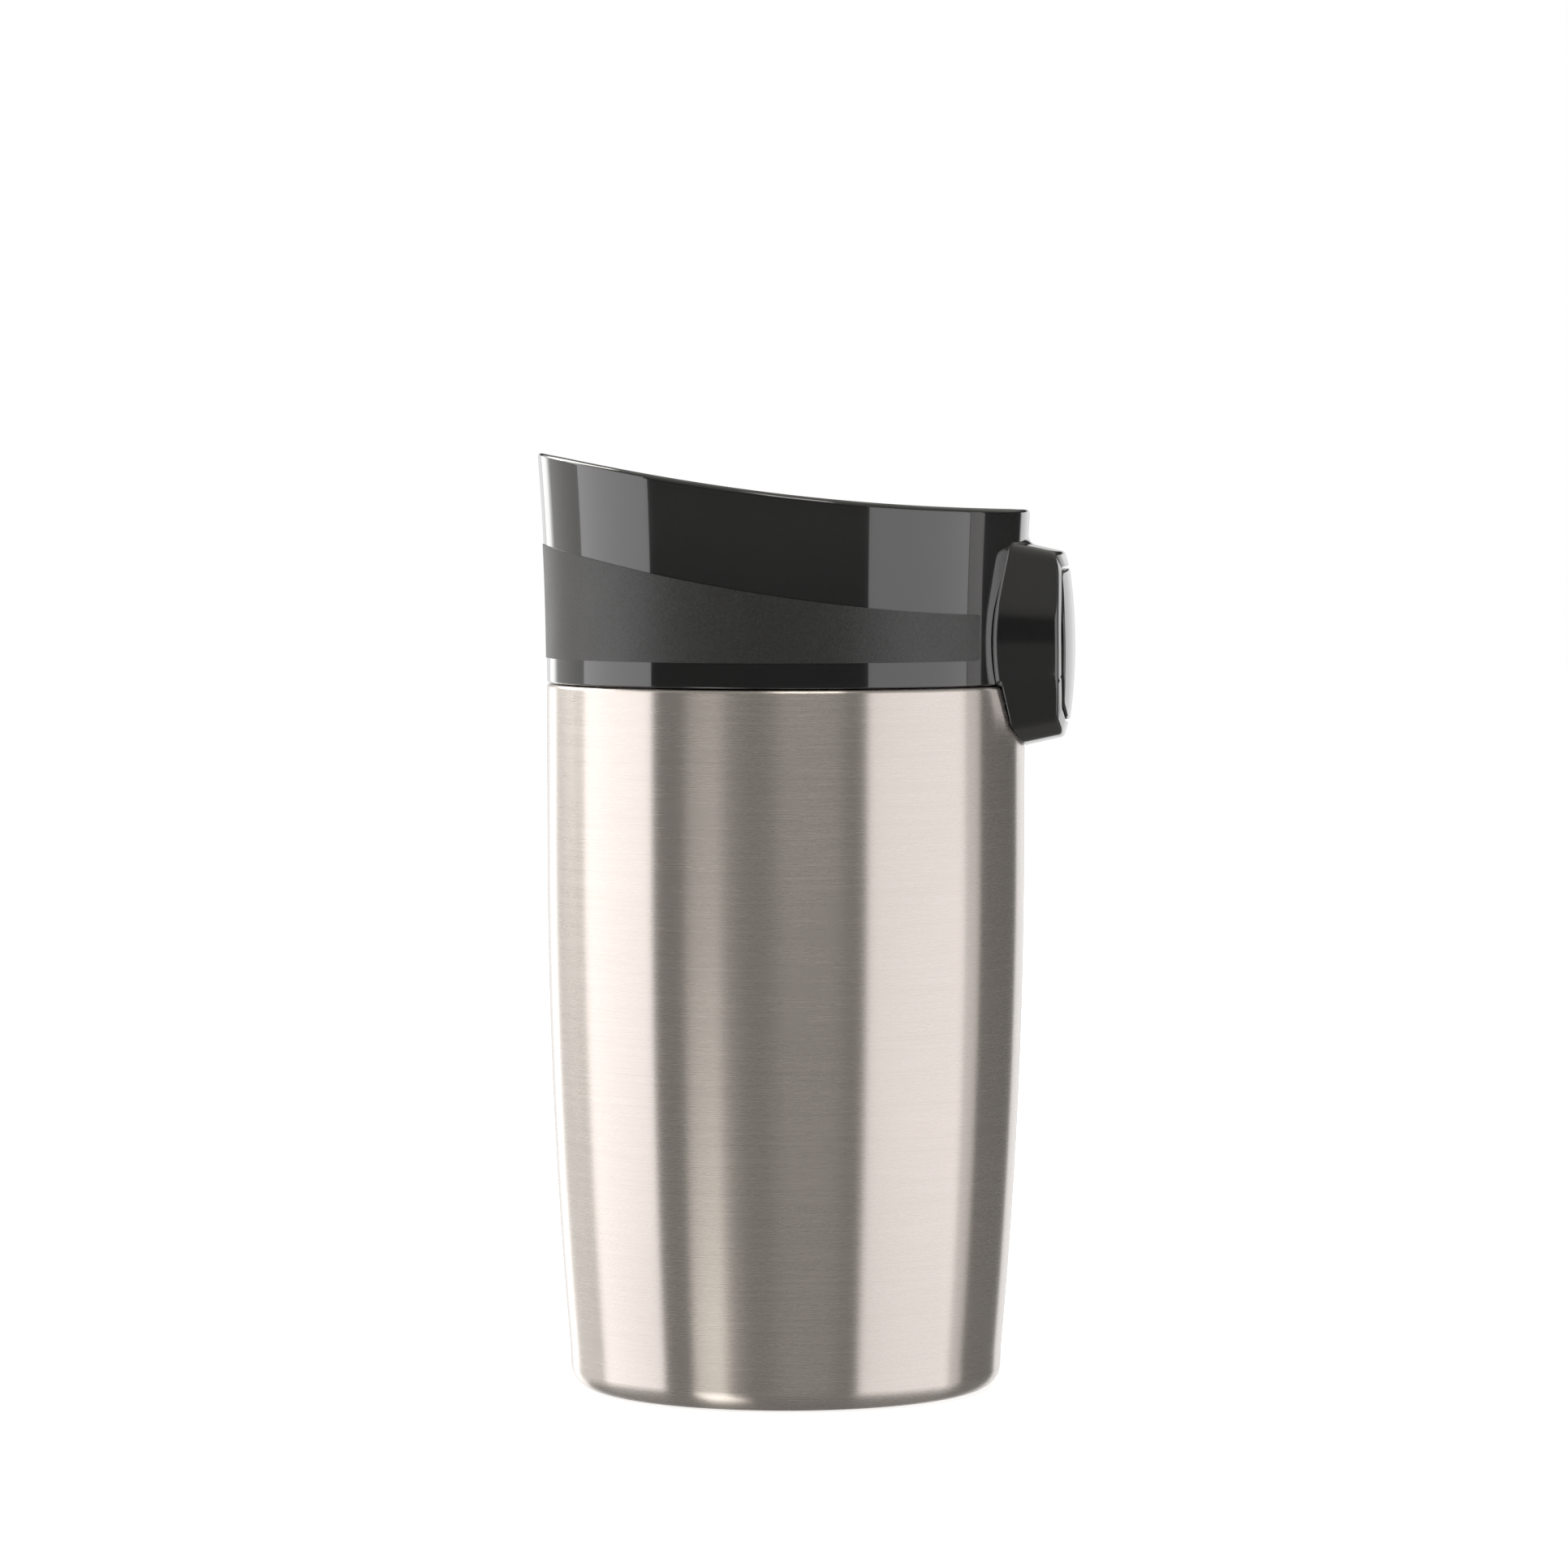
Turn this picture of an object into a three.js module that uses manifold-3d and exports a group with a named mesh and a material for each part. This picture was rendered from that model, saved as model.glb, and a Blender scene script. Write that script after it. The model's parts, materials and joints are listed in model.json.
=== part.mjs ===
// Insulated travel mug: a double-walled steel vessel and a screw lid with a push button valve.
// Millimetres, +Z up. The mug's axis is Z and it stands on z = 0. The push button is on +X and
// the drinking side, where the rim is highest, is on -X.

import * as THREE from "three";
import { mergeVertices } from "three/addons/utils/BufferGeometryUtils.js";
import Module from "manifold-3d";

// Vessel, from the outside in
const bodyRadius = 38.36; // the straight upper part of the steel body
const footDraw = 4.19; // the tapered side comes in by this much down to the floor
const bodyTop = 113.08; // height of the steel
const straightLength = 25.08; // the side is straight this far down from its top
const baseCorner = 3.24; // radius of the bottom edge
const bodyTopEdge = 0.6; // radius of the steel's top edge
const shellWall = 0.6;
const linerWall = 0.6;
const vacuumGap = 4.4; // between the two steel walls
const neckGap = 2.46; // between them at the neck
const weldGap = 0.1; // clearance left at every weld or bonded face
const lipFold = 0.9; // width of the liner's flange at the mouth
const linerFloor = 8; // height of the drink space's floor
const linerCorner = 5;
const neckDepth = 15.88; // from the steel's top edge to the gasket's seat
const capEdge = 0.53; // between the base cap and the start of the bottom edge
const capSkirt = 3.2;
const capGrooveInset = 4.7; // from the cap's edge to the middle of its stiffening groove
const capGrooveHalf = 2;
const capGrooveDepth = 0.7;
const bottomHeight = 3.6; // underside of the vacuum-tight bottom
const bottomSkirt = 5.4; // height of its upturned edge
const beadRadius = 3;
const beadHeight = 0.75;
const beadStem = 0.7;
const getterRadius = 5;
const getterHeight = 2;
const getterOffset = 14; // from the mug's axis

// Screw thread between the plug and the neck
const threadLead = 12; // rise in one turn
const threadStarts = 3;
const threadDepth = 0.9;
const threadPlay = 0.4; // between a ridge's crest and the wall it faces
const threadRoot = 1.7; // width of a ridge at its root
const threadCrest = 0.7;
const threadSpan = 150; // degrees covered by each ridge
const threadAbove = 5; // height of the plug's ridges above the gasket's seat
const threadEmbed = 0.25; // how far a ridge sinks into its wall

// Plug
const plugLift = 0.27; // height of the plug's flange above the steel
const plugWall = 2;
const plugTip = 1.2; // how far the plug reaches below the gasket's seat
const plugTipWall = 1.85;
const plugTipLength = 4.6;
const plugLipPlay = 0.36; // between the lip that holds the gasket and the liner
const plugLipHeight = 1.1;
const plugLipHold = 0.55;
const flangeThickness = 2.05;
const collarWall = 1.8;
const collarHeight = 2.4;
const gasketHeight = 1.9;
const gasketPlay = 0.1;
const gasketThreadPlay = 0.3; // lets the gasket pass the neck's thread

// Lid shell
const lidGap = 0.22; // dark line between the steel and the lid
const lidStep = 0.02; // the lid is this much smaller than the steel
const lidFlare = 1.46; // growth in radius from the lid's lower edge to its highest point
const lidWall = 2;
const lidHeight = 36.92; // from the steel's top edge to the highest point of the rim
const lidChamfer = 0.3;
const rimEdge = 0.7; // radius of the rim's edges
const rimLowX = 41.2; // place of the lowest point of the rim's arc
const rimArc = 362;
const deckDrop = 12.8; // from the highest point of the rim to the deck, on the mug's axis
const deckSlope = 0.08; // the deck falls towards the drinking side
const deckThickness = 2;

// Grip band
const bandAbove = 4.19; // its lower edge above the steel's top edge
const bandNarrowest = 6.9;
const bandProud = 0.17;
const bandDepth = 0.55; // how deep the band is let into the lid
const bandGap = 0.1;
const bandArcX = 44.9; // place of the lowest point of its upper edge's arc
const bandArc = 314;
const bandRoom = 4.96; // left open between each end and the button housing

// Button housing, a shield outline that narrows outwards from the lid. The outline's points are
// [across, up] from its middle and hold at shieldPlane.
const shieldAbove = 6.32; // its middle above the steel's top edge
const shieldPlane = 0.64; // distance out from the steel body
const shieldTaper = 0.0137; // share of the outline lost for each millimetre outwards
const shieldHalfHeight = 16.1;
const shieldTopHalf = 15.2;
const shieldTopCorner = 1;
const shieldShoulder = [17.2, 9.1];
const shieldBulge = [20, -0.1]; // control point of the widest stretch
const shieldHip = [17, -7.1];
const shieldFoot = [14.45, -12.4];
const shieldWidest = 18.55;
const housingReach = 7.19; // how far the housing's rim stands out from the steel body
const frontArc = 66; // radius of the front, seen from above
const housingArc = 400; // radius of the rim's front, seen from the side
const housingClearance = 0.6; // between the housing and the steel body
const housingBack = 1.2; // wall between the button and the mug
const rimInset = 2.35; // width of the housing's front rim

// Push button
const buttonGap = 0.5;
const buttonProud = 0.89; // how far it stands out of the housing's rim
const buttonArc = 90; // radius of the button's front, seen from the side
const buttonThickness = 3.24; // at its crest
const buttonStroke = 2.4;
const bossRadius = 4;
const bossLength = 2.2; // behind the button
const socketDepth = 3;

// Push rod, its guide and the return spring
const rodRadius = 3;
const stubStep = 1; // the stub in the button is this much thinner than the rod
const stubLength = 2.7;
const runningGap = 0.15;
const noseLength = 5.5; // of the rod's nose beyond the valve's tail
const noseWiden = 0.6; // the nose stands out of the rod's sides by this much and can't pass the guide
const noseStop = 0.3; // between the nose and the guide
const guideWall = 1.85;
const guideLength = 7.3;
const guideSink = 0.06; // the guide's outer end is this far inside the steel body's radius
const guideFlangeRise = 1.2;
const guideFlangeWall = 1.6;
const guideLift = 0.2; // between the plug's collar and the guide's flange
const sealSetback = 4.1; // from the guide's outer end to the rod seal
const sealWire = 0.6; // radius of the rod seal's section
const sealSlip = 0.09; // between the rod seal and the guide
const springWire = 0.35;
const springRoom = 0.85; // between the boss and the return spring's wire
const springPassage = 0.65; // between the spring and the housing's back wall
const returnSpringTurns = 3.25;
const springPlay = 0.1;

// Valve under the deck. Distances along the deck are from the mug's axis, and those out of its
// underside are negative below it.
const pivotAlong = 5;
const pivotBelow = -5.2;
const tailReach = 13.2; // of the tail's tip beyond the pivot, along the deck
const tailAbove = 2.48; // the tip's height above the rod's middle
const tailTipRadius = 0.8;
const tailThickness = 2.6;
const valveTurn = 7; // degrees
const hubRadius = 3;
const armHalfWidth = 7.5;
const armTop = -2.7;
const armThickness = 1.8;
const armOverhang = 4.1; // of the arm beyond the middle of the drink slot
const pinRadius = 1.2;
const pinGap = 0.08;
const pinSeat = 0.03;
const lugPlay = 0.5; // between the arm and each lug
const lugWidth = 2.2;
const lugHalf = 3.2;
const slotInset = 9.86; // from the steel body's radius to the middle of the drink slot
const slotHalfWidth = 2.9;
const slotHalfLength = 6.5;
const sealGap = 0.3; // between each seal and what it faces
const sealSpread = 1.9; // the drink seal's flange beyond the slot
const noseRise = 0.6; // how far the seals reach into their holes
const noseRoot = 0.5;
const stemRadius = 1.4;
const headRadius = 2.2;
const headThickness = 1;
const ventAlong = -6;
const ventRadius = 1.3;
const ventFlange = 3;
const ventStem = 0.9;
const ventHead = 1.6;
const notchHalf = 3.3; // room for the valve spring
const notchReach = 4.2;
const coilRadius = 2.4;
const coilTurns = 4;
const coilPitch = 0.95;
const armLegLength = 11;
const deckLegReach = 3.6;

// How finely curved things are divided, and how far a cutting body runs past what it cuts
const roundSegments = 48;
const smallSegments = 20;
const coilSegments = 14; // in one turn of a spring
const overcut = 1;

// Places that follow from the sizes above
const taperTop = bodyTop - straightLength;
const bottomTop = bottomHeight + shellWall;
const skirtTop = bottomHeight + bottomSkirt;
const neckRadius = bodyRadius - shellWall - neckGap - linerWall;
const mouthLip = neckRadius + linerWall + lipFold;
const ledgeHeight = bodyTop - neckDepth;
const threadLow = ledgeHeight + threadAbove;
const plugRadius = neckRadius - threadDepth - threadPlay;
const plugBottom = ledgeHeight - plugTip;
const plugLip = bodyRadius - shellWall - vacuumGap - linerWall - plugLipPlay;
const gasketGroove = plugLip - plugLipHold;
const gasketRadius = neckRadius - threadDepth - gasketThreadPlay;
const flangeLow = bodyTop + plugLift;
const flangeTop = flangeLow + flangeThickness;
const collarTop = flangeTop + collarHeight;
const lidLow = bodyTop + lidGap;
const lidTop = bodyTop + lidHeight;
const deckHeight = lidTop - deckDrop;
const bandLow = bodyTop + bandAbove;
const bandOpening = THREE.MathUtils.radToDeg(Math.asin((shieldWidest + bandRoom) / bodyRadius));
const shieldMiddle = bodyTop + shieldAbove;
const shieldTop = shieldMiddle + shieldHalfHeight;
const shieldBottom = shieldMiddle - shieldHalfHeight;
const housingFront = bodyRadius + housingReach;
const buttonFront = housingFront + buttonProud;
const buttonBack = buttonFront - buttonThickness;
const bossEnd = buttonBack - bossLength;
const guideBore = rodRadius + runningGap;
const guideRadius = guideBore + guideWall;
const guideFlange = guideRadius + guideFlangeRise;
const rodHeight = collarTop + guideLift + guideFlange;
const guideOuter = bodyRadius - guideSink;
const returnCoil = bossRadius + springRoom + springWire;
const guideInner = guideOuter - guideLength;
const slotCentre = slotInset - bodyRadius;
const lugOuter = armHalfWidth + lugPlay + lugWidth;

const wasm = await Module();
wasm.setup();

// Shared shapes ------------------------------------------------------------------------------

// A closed geometry as a solid that can be joined and cut.
function solidFrom(geometry) {
  const bare = geometry.clone();
  bare.deleteAttribute("normal");
  bare.deleteAttribute("uv");
  const merged = mergeVertices(bare, 1e-4);
  return new wasm.Manifold(
    new wasm.Mesh({
      numProp: 3,
      vertProperties: merged.attributes.position.array,
      triVerts: new Uint32Array(merged.index.array),
    }),
  );
}

function geometryFrom(solid) {
  const { vertProperties, triVerts } = solid.getMesh();
  const geometry = new THREE.BufferGeometry();
  geometry.setAttribute("position", new THREE.BufferAttribute(vertProperties, 3));
  geometry.setIndex(new THREE.BufferAttribute(triVerts, 1));
  return geometry;
}

function joined(...geometries) {
  const solids = geometries.map(solidFrom);
  return solids.reduce((whole, solid) => whole.add(solid));
}

// Turns an outline of [radius, height] points round Z, and closes it if it stays off the axis.
function turned(outline, segments = roundSegments) {
  const points = outline.map(([r, z]) => new THREE.Vector2(r, z));
  if (THREE.ShapeUtils.isClockWise(points)) points.reverse();
  if (points.every((p) => p.x > 0)) points.push(points[0].clone());
  return new THREE.LatheGeometry(points, segments).rotateX(Math.PI / 2);
}

function turnedAlongX(outline, segments = smallSegments) {
  return turned(outline, segments).rotateY(Math.PI / 2);
}

// A straight round bar along X between two places, or along Y between -reach and reach.
function barAlongX(radius, from, to, height) {
  const outline = [[0, from], [radius, from], [radius, to], [0, to]];
  return turnedAlongX(outline).translate(0, 0, height);
}

function barAlongY(radius, reach) {
  const outline = [[0, -reach], [radius, -reach], [radius, reach], [0, reach]];
  return turned(outline, smallSegments).rotateX(-Math.PI / 2);
}

function barUp(radius, from, to) {
  return turned([[0, from], [radius, from], [radius, to], [0, to]], smallSegments);
}

// A shape drawn in the XZ plane, given thickness along Y from one face to the other.
function plate(points, fromY, toY) {
  const shape = new THREE.Shape(points.map(([x, z]) => new THREE.Vector2(x, z)));
  const geometry = new THREE.ExtrudeGeometry(shape, { depth: toY - fromY, bevelEnabled: false });
  return geometry.rotateX(Math.PI / 2).translate(0, toY, 0);
}

// Points on a quarter or other part of a circle, from one angle in degrees to another.
function arc(cx, cy, radius, from, to, steps = 3) {
  return Array.from({ length: steps + 1 }, (_, i) => {
    const angle = THREE.MathUtils.degToRad(from + ((to - from) * i) / steps);
    return [cx + radius * Math.cos(angle), cy + radius * Math.sin(angle)];
  });
}

// A slot shape with round ends, lying flat: long along Y, between two heights.
function slotBlock(centreX, halfWidth, halfLength, from, to) {
  const straight = halfLength - halfWidth;
  const shape = new THREE.Shape();
  shape.absarc(centreX, straight, halfWidth, 0, Math.PI, false);
  shape.absarc(centreX, -straight, halfWidth, Math.PI, 2 * Math.PI, false);
  const options = { depth: to - from, bevelEnabled: false, curveSegments: 8 };
  return new THREE.ExtrudeGeometry(shape, options).translate(0, 0, from);
}

// Bends a section, drawn as [distance out, height], round the axis between two angles in degrees.
function bent(section, fromAngle, toAngle, steps, place) {
  const shape = new THREE.Shape(section.map(([x, y]) => new THREE.Vector2(x, y)));
  const geometry = new THREE.ExtrudeGeometry(shape, { depth: 1, steps, bevelEnabled: false });
  const position = geometry.attributes.position;
  for (let i = 0; i < position.count; i++) {
    const along = 1 - position.getZ(i);
    const angle = THREE.MathUtils.degToRad(fromAngle + (toAngle - fromAngle) * along);
    const [radius, height] = place(position.getX(i), position.getY(i), along, angle);
    position.setXYZ(i, radius * Math.cos(angle), radius * Math.sin(angle), height);
  }
  return geometry;
}

// A round wire along a path.
function wire(path, steps, radius, sides = 6) {
  const section = new THREE.Shape(
    arc(0, 0, radius, 0, 360, sides).slice(0, sides).map(([x, y]) => new THREE.Vector2(x, y)),
  );
  return new THREE.ExtrudeGeometry(section, { extrudePath: path, steps, bevelEnabled: false });
}

function part(name, shape, material) {
  const geometry = shape.isBufferGeometry ? shape : geometryFrom(shape);
  const mesh = new THREE.Mesh(geometry, material);
  mesh.name = name;
  return mesh;
}

// Materials ----------------------------------------------------------------------------------

function material(color, roughness, metalness) {
  return new THREE.MeshStandardMaterial({ color, roughness, metalness, flatShading: true });
}

const brushedSteel = material(0xcfc8c0, 0.3, 1);
const plainSteel = material(0xbdbcba, 0.35, 1);
const springSteel = material(0x9a9a9c, 0.3, 1);
const getterMetal = material(0x6f6d69, 0.6, 1);
const sealingGlass = material(0x5c6b62, 0.2, 0);
const glossBlack = material(0x121213, 0.12, 0);
const softBlack = material(0x2a2a2b, 0.8, 0);
const innerBlack = material(0x1d1d1e, 0.45, 0);
const silicone = material(0xb9b9b6, 0.6, 0);

// Vessel -------------------------------------------------------------------------------------

const taperArc = (taperTop ** 2 + footDraw ** 2) / (2 * footDraw);

function bodySide(z) {
  const below = Math.max(taperTop - z, 0);
  return bodyRadius - taperArc + Math.sqrt(taperArc ** 2 - below ** 2);
}

const capRadius = bodySide(baseCorner) - baseCorner - capEdge;

// The body's side moved inwards, as points between two heights.
function bodyLine(inset, from, to, steps) {
  return Array.from({ length: steps + 1 }, (_, i) => {
    const z = from + ((to - from) * i) / steps;
    return [bodySide(z) - inset, z];
  });
}

function outerShell() {
  const corner = bodySide(baseCorner) - baseCorner;
  const inside = bodyTop - shellWall;
  return turned([
    [capRadius + weldGap, 0],
    ...arc(corner, baseCorner, baseCorner, -90, 0),
    ...bodyLine(0, baseCorner, taperTop, 6).slice(1),
    ...arc(bodyRadius - bodyTopEdge, bodyTop - bodyTopEdge, bodyTopEdge, 0, 90, 2),
    [mouthLip, bodyTop],
    [mouthLip, inside],
    [bodyRadius - shellWall, inside],
    ...bodyLine(shellWall, taperTop, skirtTop, 3),
    ...bodyLine(shellWall, bottomTop, baseCorner, 1),
    ...arc(corner, baseCorner, baseCorner - shellWall, 0, -90, 2).slice(1),
    [capRadius + weldGap, shellWall],
  ]);
}

function innerLiner() {
  const boreInset = shellWall + vacuumGap + linerWall;
  const outInset = shellWall + vacuumGap;
  const wallLow = linerFloor + linerCorner;
  const bore = bodySide(wallLow) - boreInset;
  const flange = mouthLip - weldGap;
  const lining = turned([
    [0, linerFloor],
    ...arc(bore - linerCorner, wallLow, linerCorner, -90, 0),
    ...bodyLine(boreInset, wallLow, taperTop, 3).slice(1),
    [bodyRadius - boreInset, ledgeHeight],
    [neckRadius, ledgeHeight],
    [neckRadius, bodyTop],
    [flange, bodyTop],
    [flange, bodyTop - linerWall],
    [neckRadius + linerWall, bodyTop - linerWall],
    [neckRadius + linerWall, ledgeHeight - linerWall],
    [bodyRadius - outInset, ledgeHeight - linerWall],
    ...bodyLine(outInset, taperTop, wallLow, 2),
    ...arc(bore - linerCorner, wallLow, linerCorner + linerWall, 0, -90, 2).slice(1),
    [0, linerFloor - linerWall],
  ]);
  const halfPitch = threadLead / threadStarts / 2;
  return joined(lining, ...threadRidges(neckRadius, -1, threadLow + halfPitch));
}

// The ridges of one side of the thread, standing out of or into a round wall.
function threadRidges(wallRadius, direction, low) {
  const section = [
    [-threadEmbed, -threadRoot / 2],
    [threadDepth, -threadCrest / 2],
    [threadDepth, threadCrest / 2],
    [-threadEmbed, threadRoot / 2],
  ].map(([out, height]) => [direction * out, height]);
  return Array.from({ length: threadStarts }, (_, i) => {
    const start = (i * 360) / threadStarts;
    const steps = Math.round((roundSegments * threadSpan) / 360);
    return bent(section, start, start + threadSpan, steps, (out, height, along) => {
      const run = Math.min(1, 8 * along, 8 * (1 - along));
      const shown = direction * out > 0 ? out * run : out;
      return [wallRadius + shown, low + height + (threadLead * along * threadSpan) / 360];
    });
  });
}

function baseCap() {
  const groove = capRadius - capGrooveInset;
  const [inner, outer] = [groove - capGrooveHalf, groove + capGrooveHalf];
  const slant = capGrooveDepth;
  const raised = capGrooveDepth + shellWall;
  return turned([
    [0, 0],
    [inner, 0],
    [inner + slant, capGrooveDepth],
    [outer - slant, capGrooveDepth],
    [outer, 0],
    [capRadius, 0],
    [capRadius, capSkirt],
    [capRadius - shellWall, capSkirt],
    [capRadius - shellWall, shellWall],
    [outer + shellWall / 2, shellWall],
    [outer - slant + shellWall / 2, raised],
    [inner + slant - shellWall / 2, raised],
    [inner - shellWall / 2, shellWall],
    [0, shellWall],
  ]);
}

// The vacuum-tight bottom: a dished plate whose upturned edge is welded to the shell.
function shellBottom() {
  const seat = shellWall + weldGap;
  const hole = beadStem + weldGap;
  return turned([
    [hole, bottomHeight],
    [bodySide(bottomHeight) - seat - shellWall, bottomHeight],
    [bodySide(bottomTop) - seat, bottomTop],
    [bodySide(skirtTop) - seat, skirtTop],
    [bodySide(skirtTop) - seat - shellWall, skirtTop],
    [bodySide(bottomTop) - seat - shellWall, bottomTop],
    [hole, bottomTop],
  ]);
}

// The glass bead that closes the hole through which the air was drawn out.
function sealBead() {
  const face = bottomHeight - weldGap;
  return turned(
    [
      [0, face - beadHeight],
      [beadRadius - beadHeight, face - beadHeight],
      [beadRadius, face],
      [beadStem, face],
      [beadStem, bottomTop],
      [0, bottomTop],
    ],
    smallSegments,
  );
}

function getter() {
  const low = bottomTop + weldGap;
  return barUp(getterRadius, low, low + getterHeight).translate(-getterOffset, 0, 0);
}

// Lid ----------------------------------------------------------------------------------------

function lidRadius(z) {
  return bodyRadius - lidStep + lidFlare * ((z - lidLow) / (lidTop - lidLow)) ** 2;
}

// Height of a hollow arc above its lowest point.
function arcRise(radius, distance) {
  return radius - Math.sqrt(radius ** 2 - distance ** 2);
}

const rimCrest = rimEdge - lidRadius(lidTop);
const rimLowZ = lidTop - arcRise(rimArc, rimCrest - rimLowX);

function rimHeight(x) {
  return rimLowZ + arcRise(rimArc, x - rimLowX);
}

function bandHeight(x) {
  return bandLow + bandNarrowest + arcRise(bandArc, x - bandArcX);
}

// The deck's own frame: its origin is where the mug's axis meets the deck's underside.
const deckTilt = Math.atan(deckSlope);
const deckPlace = new THREE.Matrix4()
  .makeRotationY(-deckTilt)
  .setPosition(0, 0, deckHeight - deckThickness / Math.cos(deckTilt));

function onDeck(geometry) {
  return geometry.applyMatrix4(deckPlace);
}

function atPivot(geometry) {
  return geometry.translate(pivotAlong, 0, pivotBelow);
}

// The lid's round wall, whose top follows the rim's arc.
function lidRing() {
  const tall = lidTop - lidLow;
  const edge = tall - rimEdge;
  const outline = [
    [lidChamfer, 0],
    [0, lidChamfer],
    ...[0.1, 0.4, 0.6, 0.8].map((share) => [0, share * tall]),
    ...arc(rimEdge, edge, rimEdge, 180, 90),
    ...arc(lidWall - rimEdge, edge, rimEdge, 90, 0),
    ...[0.7, 0.35, 0].map((share) => [lidWall, share * tall]),
  ];
  const base = lidRadius(lidLow);
  const ring = turned(outline.map(([inwards, height]) => [base - inwards, height]));
  const position = ring.attributes.position;
  for (let i = 0; i < position.count; i++) {
    const [x, y] = [position.getX(i), position.getY(i)];
    const radius = Math.hypot(x, y);
    const tallest = rimHeight((x * lidRadius(lidTop)) / base) - lidLow;
    const z = lidLow + (position.getZ(i) * tallest) / tall;
    const grown = (radius + lidRadius(z) - base) / radius;
    position.setXYZ(i, x * grown, y * grown, z);
  }
  return ring;
}

function deck() {
  const reach = lidRadius(deckHeight) - lidWall / 2;
  const disc = turned([[0, lidLow], [reach, lidLow], [reach, lidTop], [0, lidTop]]);
  const slab = onDeck(new THREE.BoxGeometry(4 * reach, 4 * reach, deckThickness)
    .translate(0, 0, deckThickness / 2));
  return solidFrom(disc).intersect(solidFrom(slab));
}

// Lugs under the deck that carry the valve's pin.
function lugs() {
  const outline = [
    [pivotAlong - lugHalf, deckThickness / 2],
    ...arc(pivotAlong, pivotBelow, lugHalf, 180, 360, 8),
    [pivotAlong + lugHalf, deckThickness / 2],
  ];
  return [-lugOuter, lugOuter - lugWidth].map((from) => {
    return onDeck(plate(outline, from, from + lugWidth));
  });
}

function lidShell() {
  const holes = [
    onDeck(slotBlock(slotCentre, slotHalfWidth, slotHalfLength, -overcut, deckThickness + overcut)),
    onDeck(barUp(ventRadius, -overcut, deckThickness + overcut).translate(ventAlong, 0, 0)),
    onDeck(atPivot(barAlongY(pinRadius + pinSeat, lugOuter + overcut))),
    barAlongX(guideRadius + weldGap, guideInner, housingFront, rodHeight),
    gripBandShape(bandGap, overcut),
  ];
  const solid = joined(lidRing(), ...lugs()).add(deck());
  return holes.reduce((rest, hole) => rest.subtract(solidFrom(hole)), solid);
}

// The grip band, or with a margin the groove that it sits in.
function gripBandShape(margin, extraProud) {
  const outer = bandProud + extraProud;
  const inner = -bandDepth - margin;
  const section = [[inner, 0], [outer, 0], [outer, 1], [inner, 1]];
  const open = bandOpening - THREE.MathUtils.radToDeg(margin / bodyRadius);
  const steps = Math.round((roundSegments * (360 - 2 * open)) / 360);
  return bent(section, open, 360 - open, steps, (out, share, along, angle) => {
    const low = bandLow - margin;
    const high = bandHeight(bodyRadius * Math.cos(angle)) + margin;
    const z = low + (high - low) * share;
    return [lidRadius(z) + out, z];
  });
}

function screwPlug() {
  const collar = lidRadius(lidLow) - lidWall - weldGap;
  const grooveTop = ledgeHeight + gasketHeight + 3 * gasketPlay;
  const bore = plugRadius - plugWall;
  const tipBore = gasketGroove - plugTipWall;
  const tipTop = plugBottom + plugTipLength;
  const body = turned([
    [tipBore, plugBottom],
    [plugLip, plugBottom],
    [plugLip, plugBottom + plugLipHeight],
    [gasketGroove, plugBottom + plugLipHeight],
    [gasketGroove, grooveTop],
    [plugRadius, grooveTop],
    [plugRadius, flangeLow],
    [collar, flangeLow],
    [collar, collarTop],
    [collar - collarWall, collarTop],
    [collar - collarWall, flangeTop],
    [bore, flangeTop],
    [bore, tipTop + bore - tipBore],
    [tipBore, tipTop],
  ]);
  return joined(body, ...threadRidges(plugRadius, 1, threadLow));
}

function neckGasket() {
  const low = ledgeHeight + gasketPlay;
  const [inner, outer] = [gasketGroove + gasketPlay, gasketRadius];
  const bite = (outer - inner) / 4; // the gasket's edges are cut off by this much
  return turned([
    [inner, low],
    [outer - bite, low],
    [outer, low + bite],
    [outer, low + gasketHeight - bite],
    [outer - bite, low + gasketHeight],
    [inner, low + gasketHeight],
  ]);
}

// Button housing and button ------------------------------------------------------------------

// The shield outline in the YZ plane, drawn smaller by an inset all round.
function shieldShape(inset) {
  const [wide, tall] = [shieldWidest, shieldHalfHeight];
  const right = ([y, z]) => [y * (1 - inset / wide), z * (1 - inset / tall)];
  const left = ([y, z]) => right([-y, z]);
  const cornerLow = [shieldTopHalf, tall - shieldTopCorner];
  const cornerHigh = [shieldTopHalf - shieldTopCorner, tall];
  const corner = [shieldTopHalf, tall];
  const bottom = [0, -tall];
  const chin = [shieldFoot[0] / 2, -tall]; // control point of the curved bottom
  const shape = new THREE.Shape();
  shape.moveTo(...right(bottom));
  shape.quadraticCurveTo(...right(chin), ...right(shieldFoot));
  shape.lineTo(...right(shieldHip));
  shape.quadraticCurveTo(...right(shieldBulge), ...right(shieldShoulder));
  shape.lineTo(...right(cornerLow));
  shape.quadraticCurveTo(...right(corner), ...right(cornerHigh));
  shape.lineTo(...left(cornerHigh));
  shape.quadraticCurveTo(...left(corner), ...left(cornerLow));
  shape.lineTo(...left(shieldShoulder));
  shape.quadraticCurveTo(...left(shieldBulge), ...left(shieldHip));
  shape.lineTo(...left(shieldFoot));
  shape.quadraticCurveTo(...left(chin), ...left(bottom));
  return shape;
}

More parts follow.
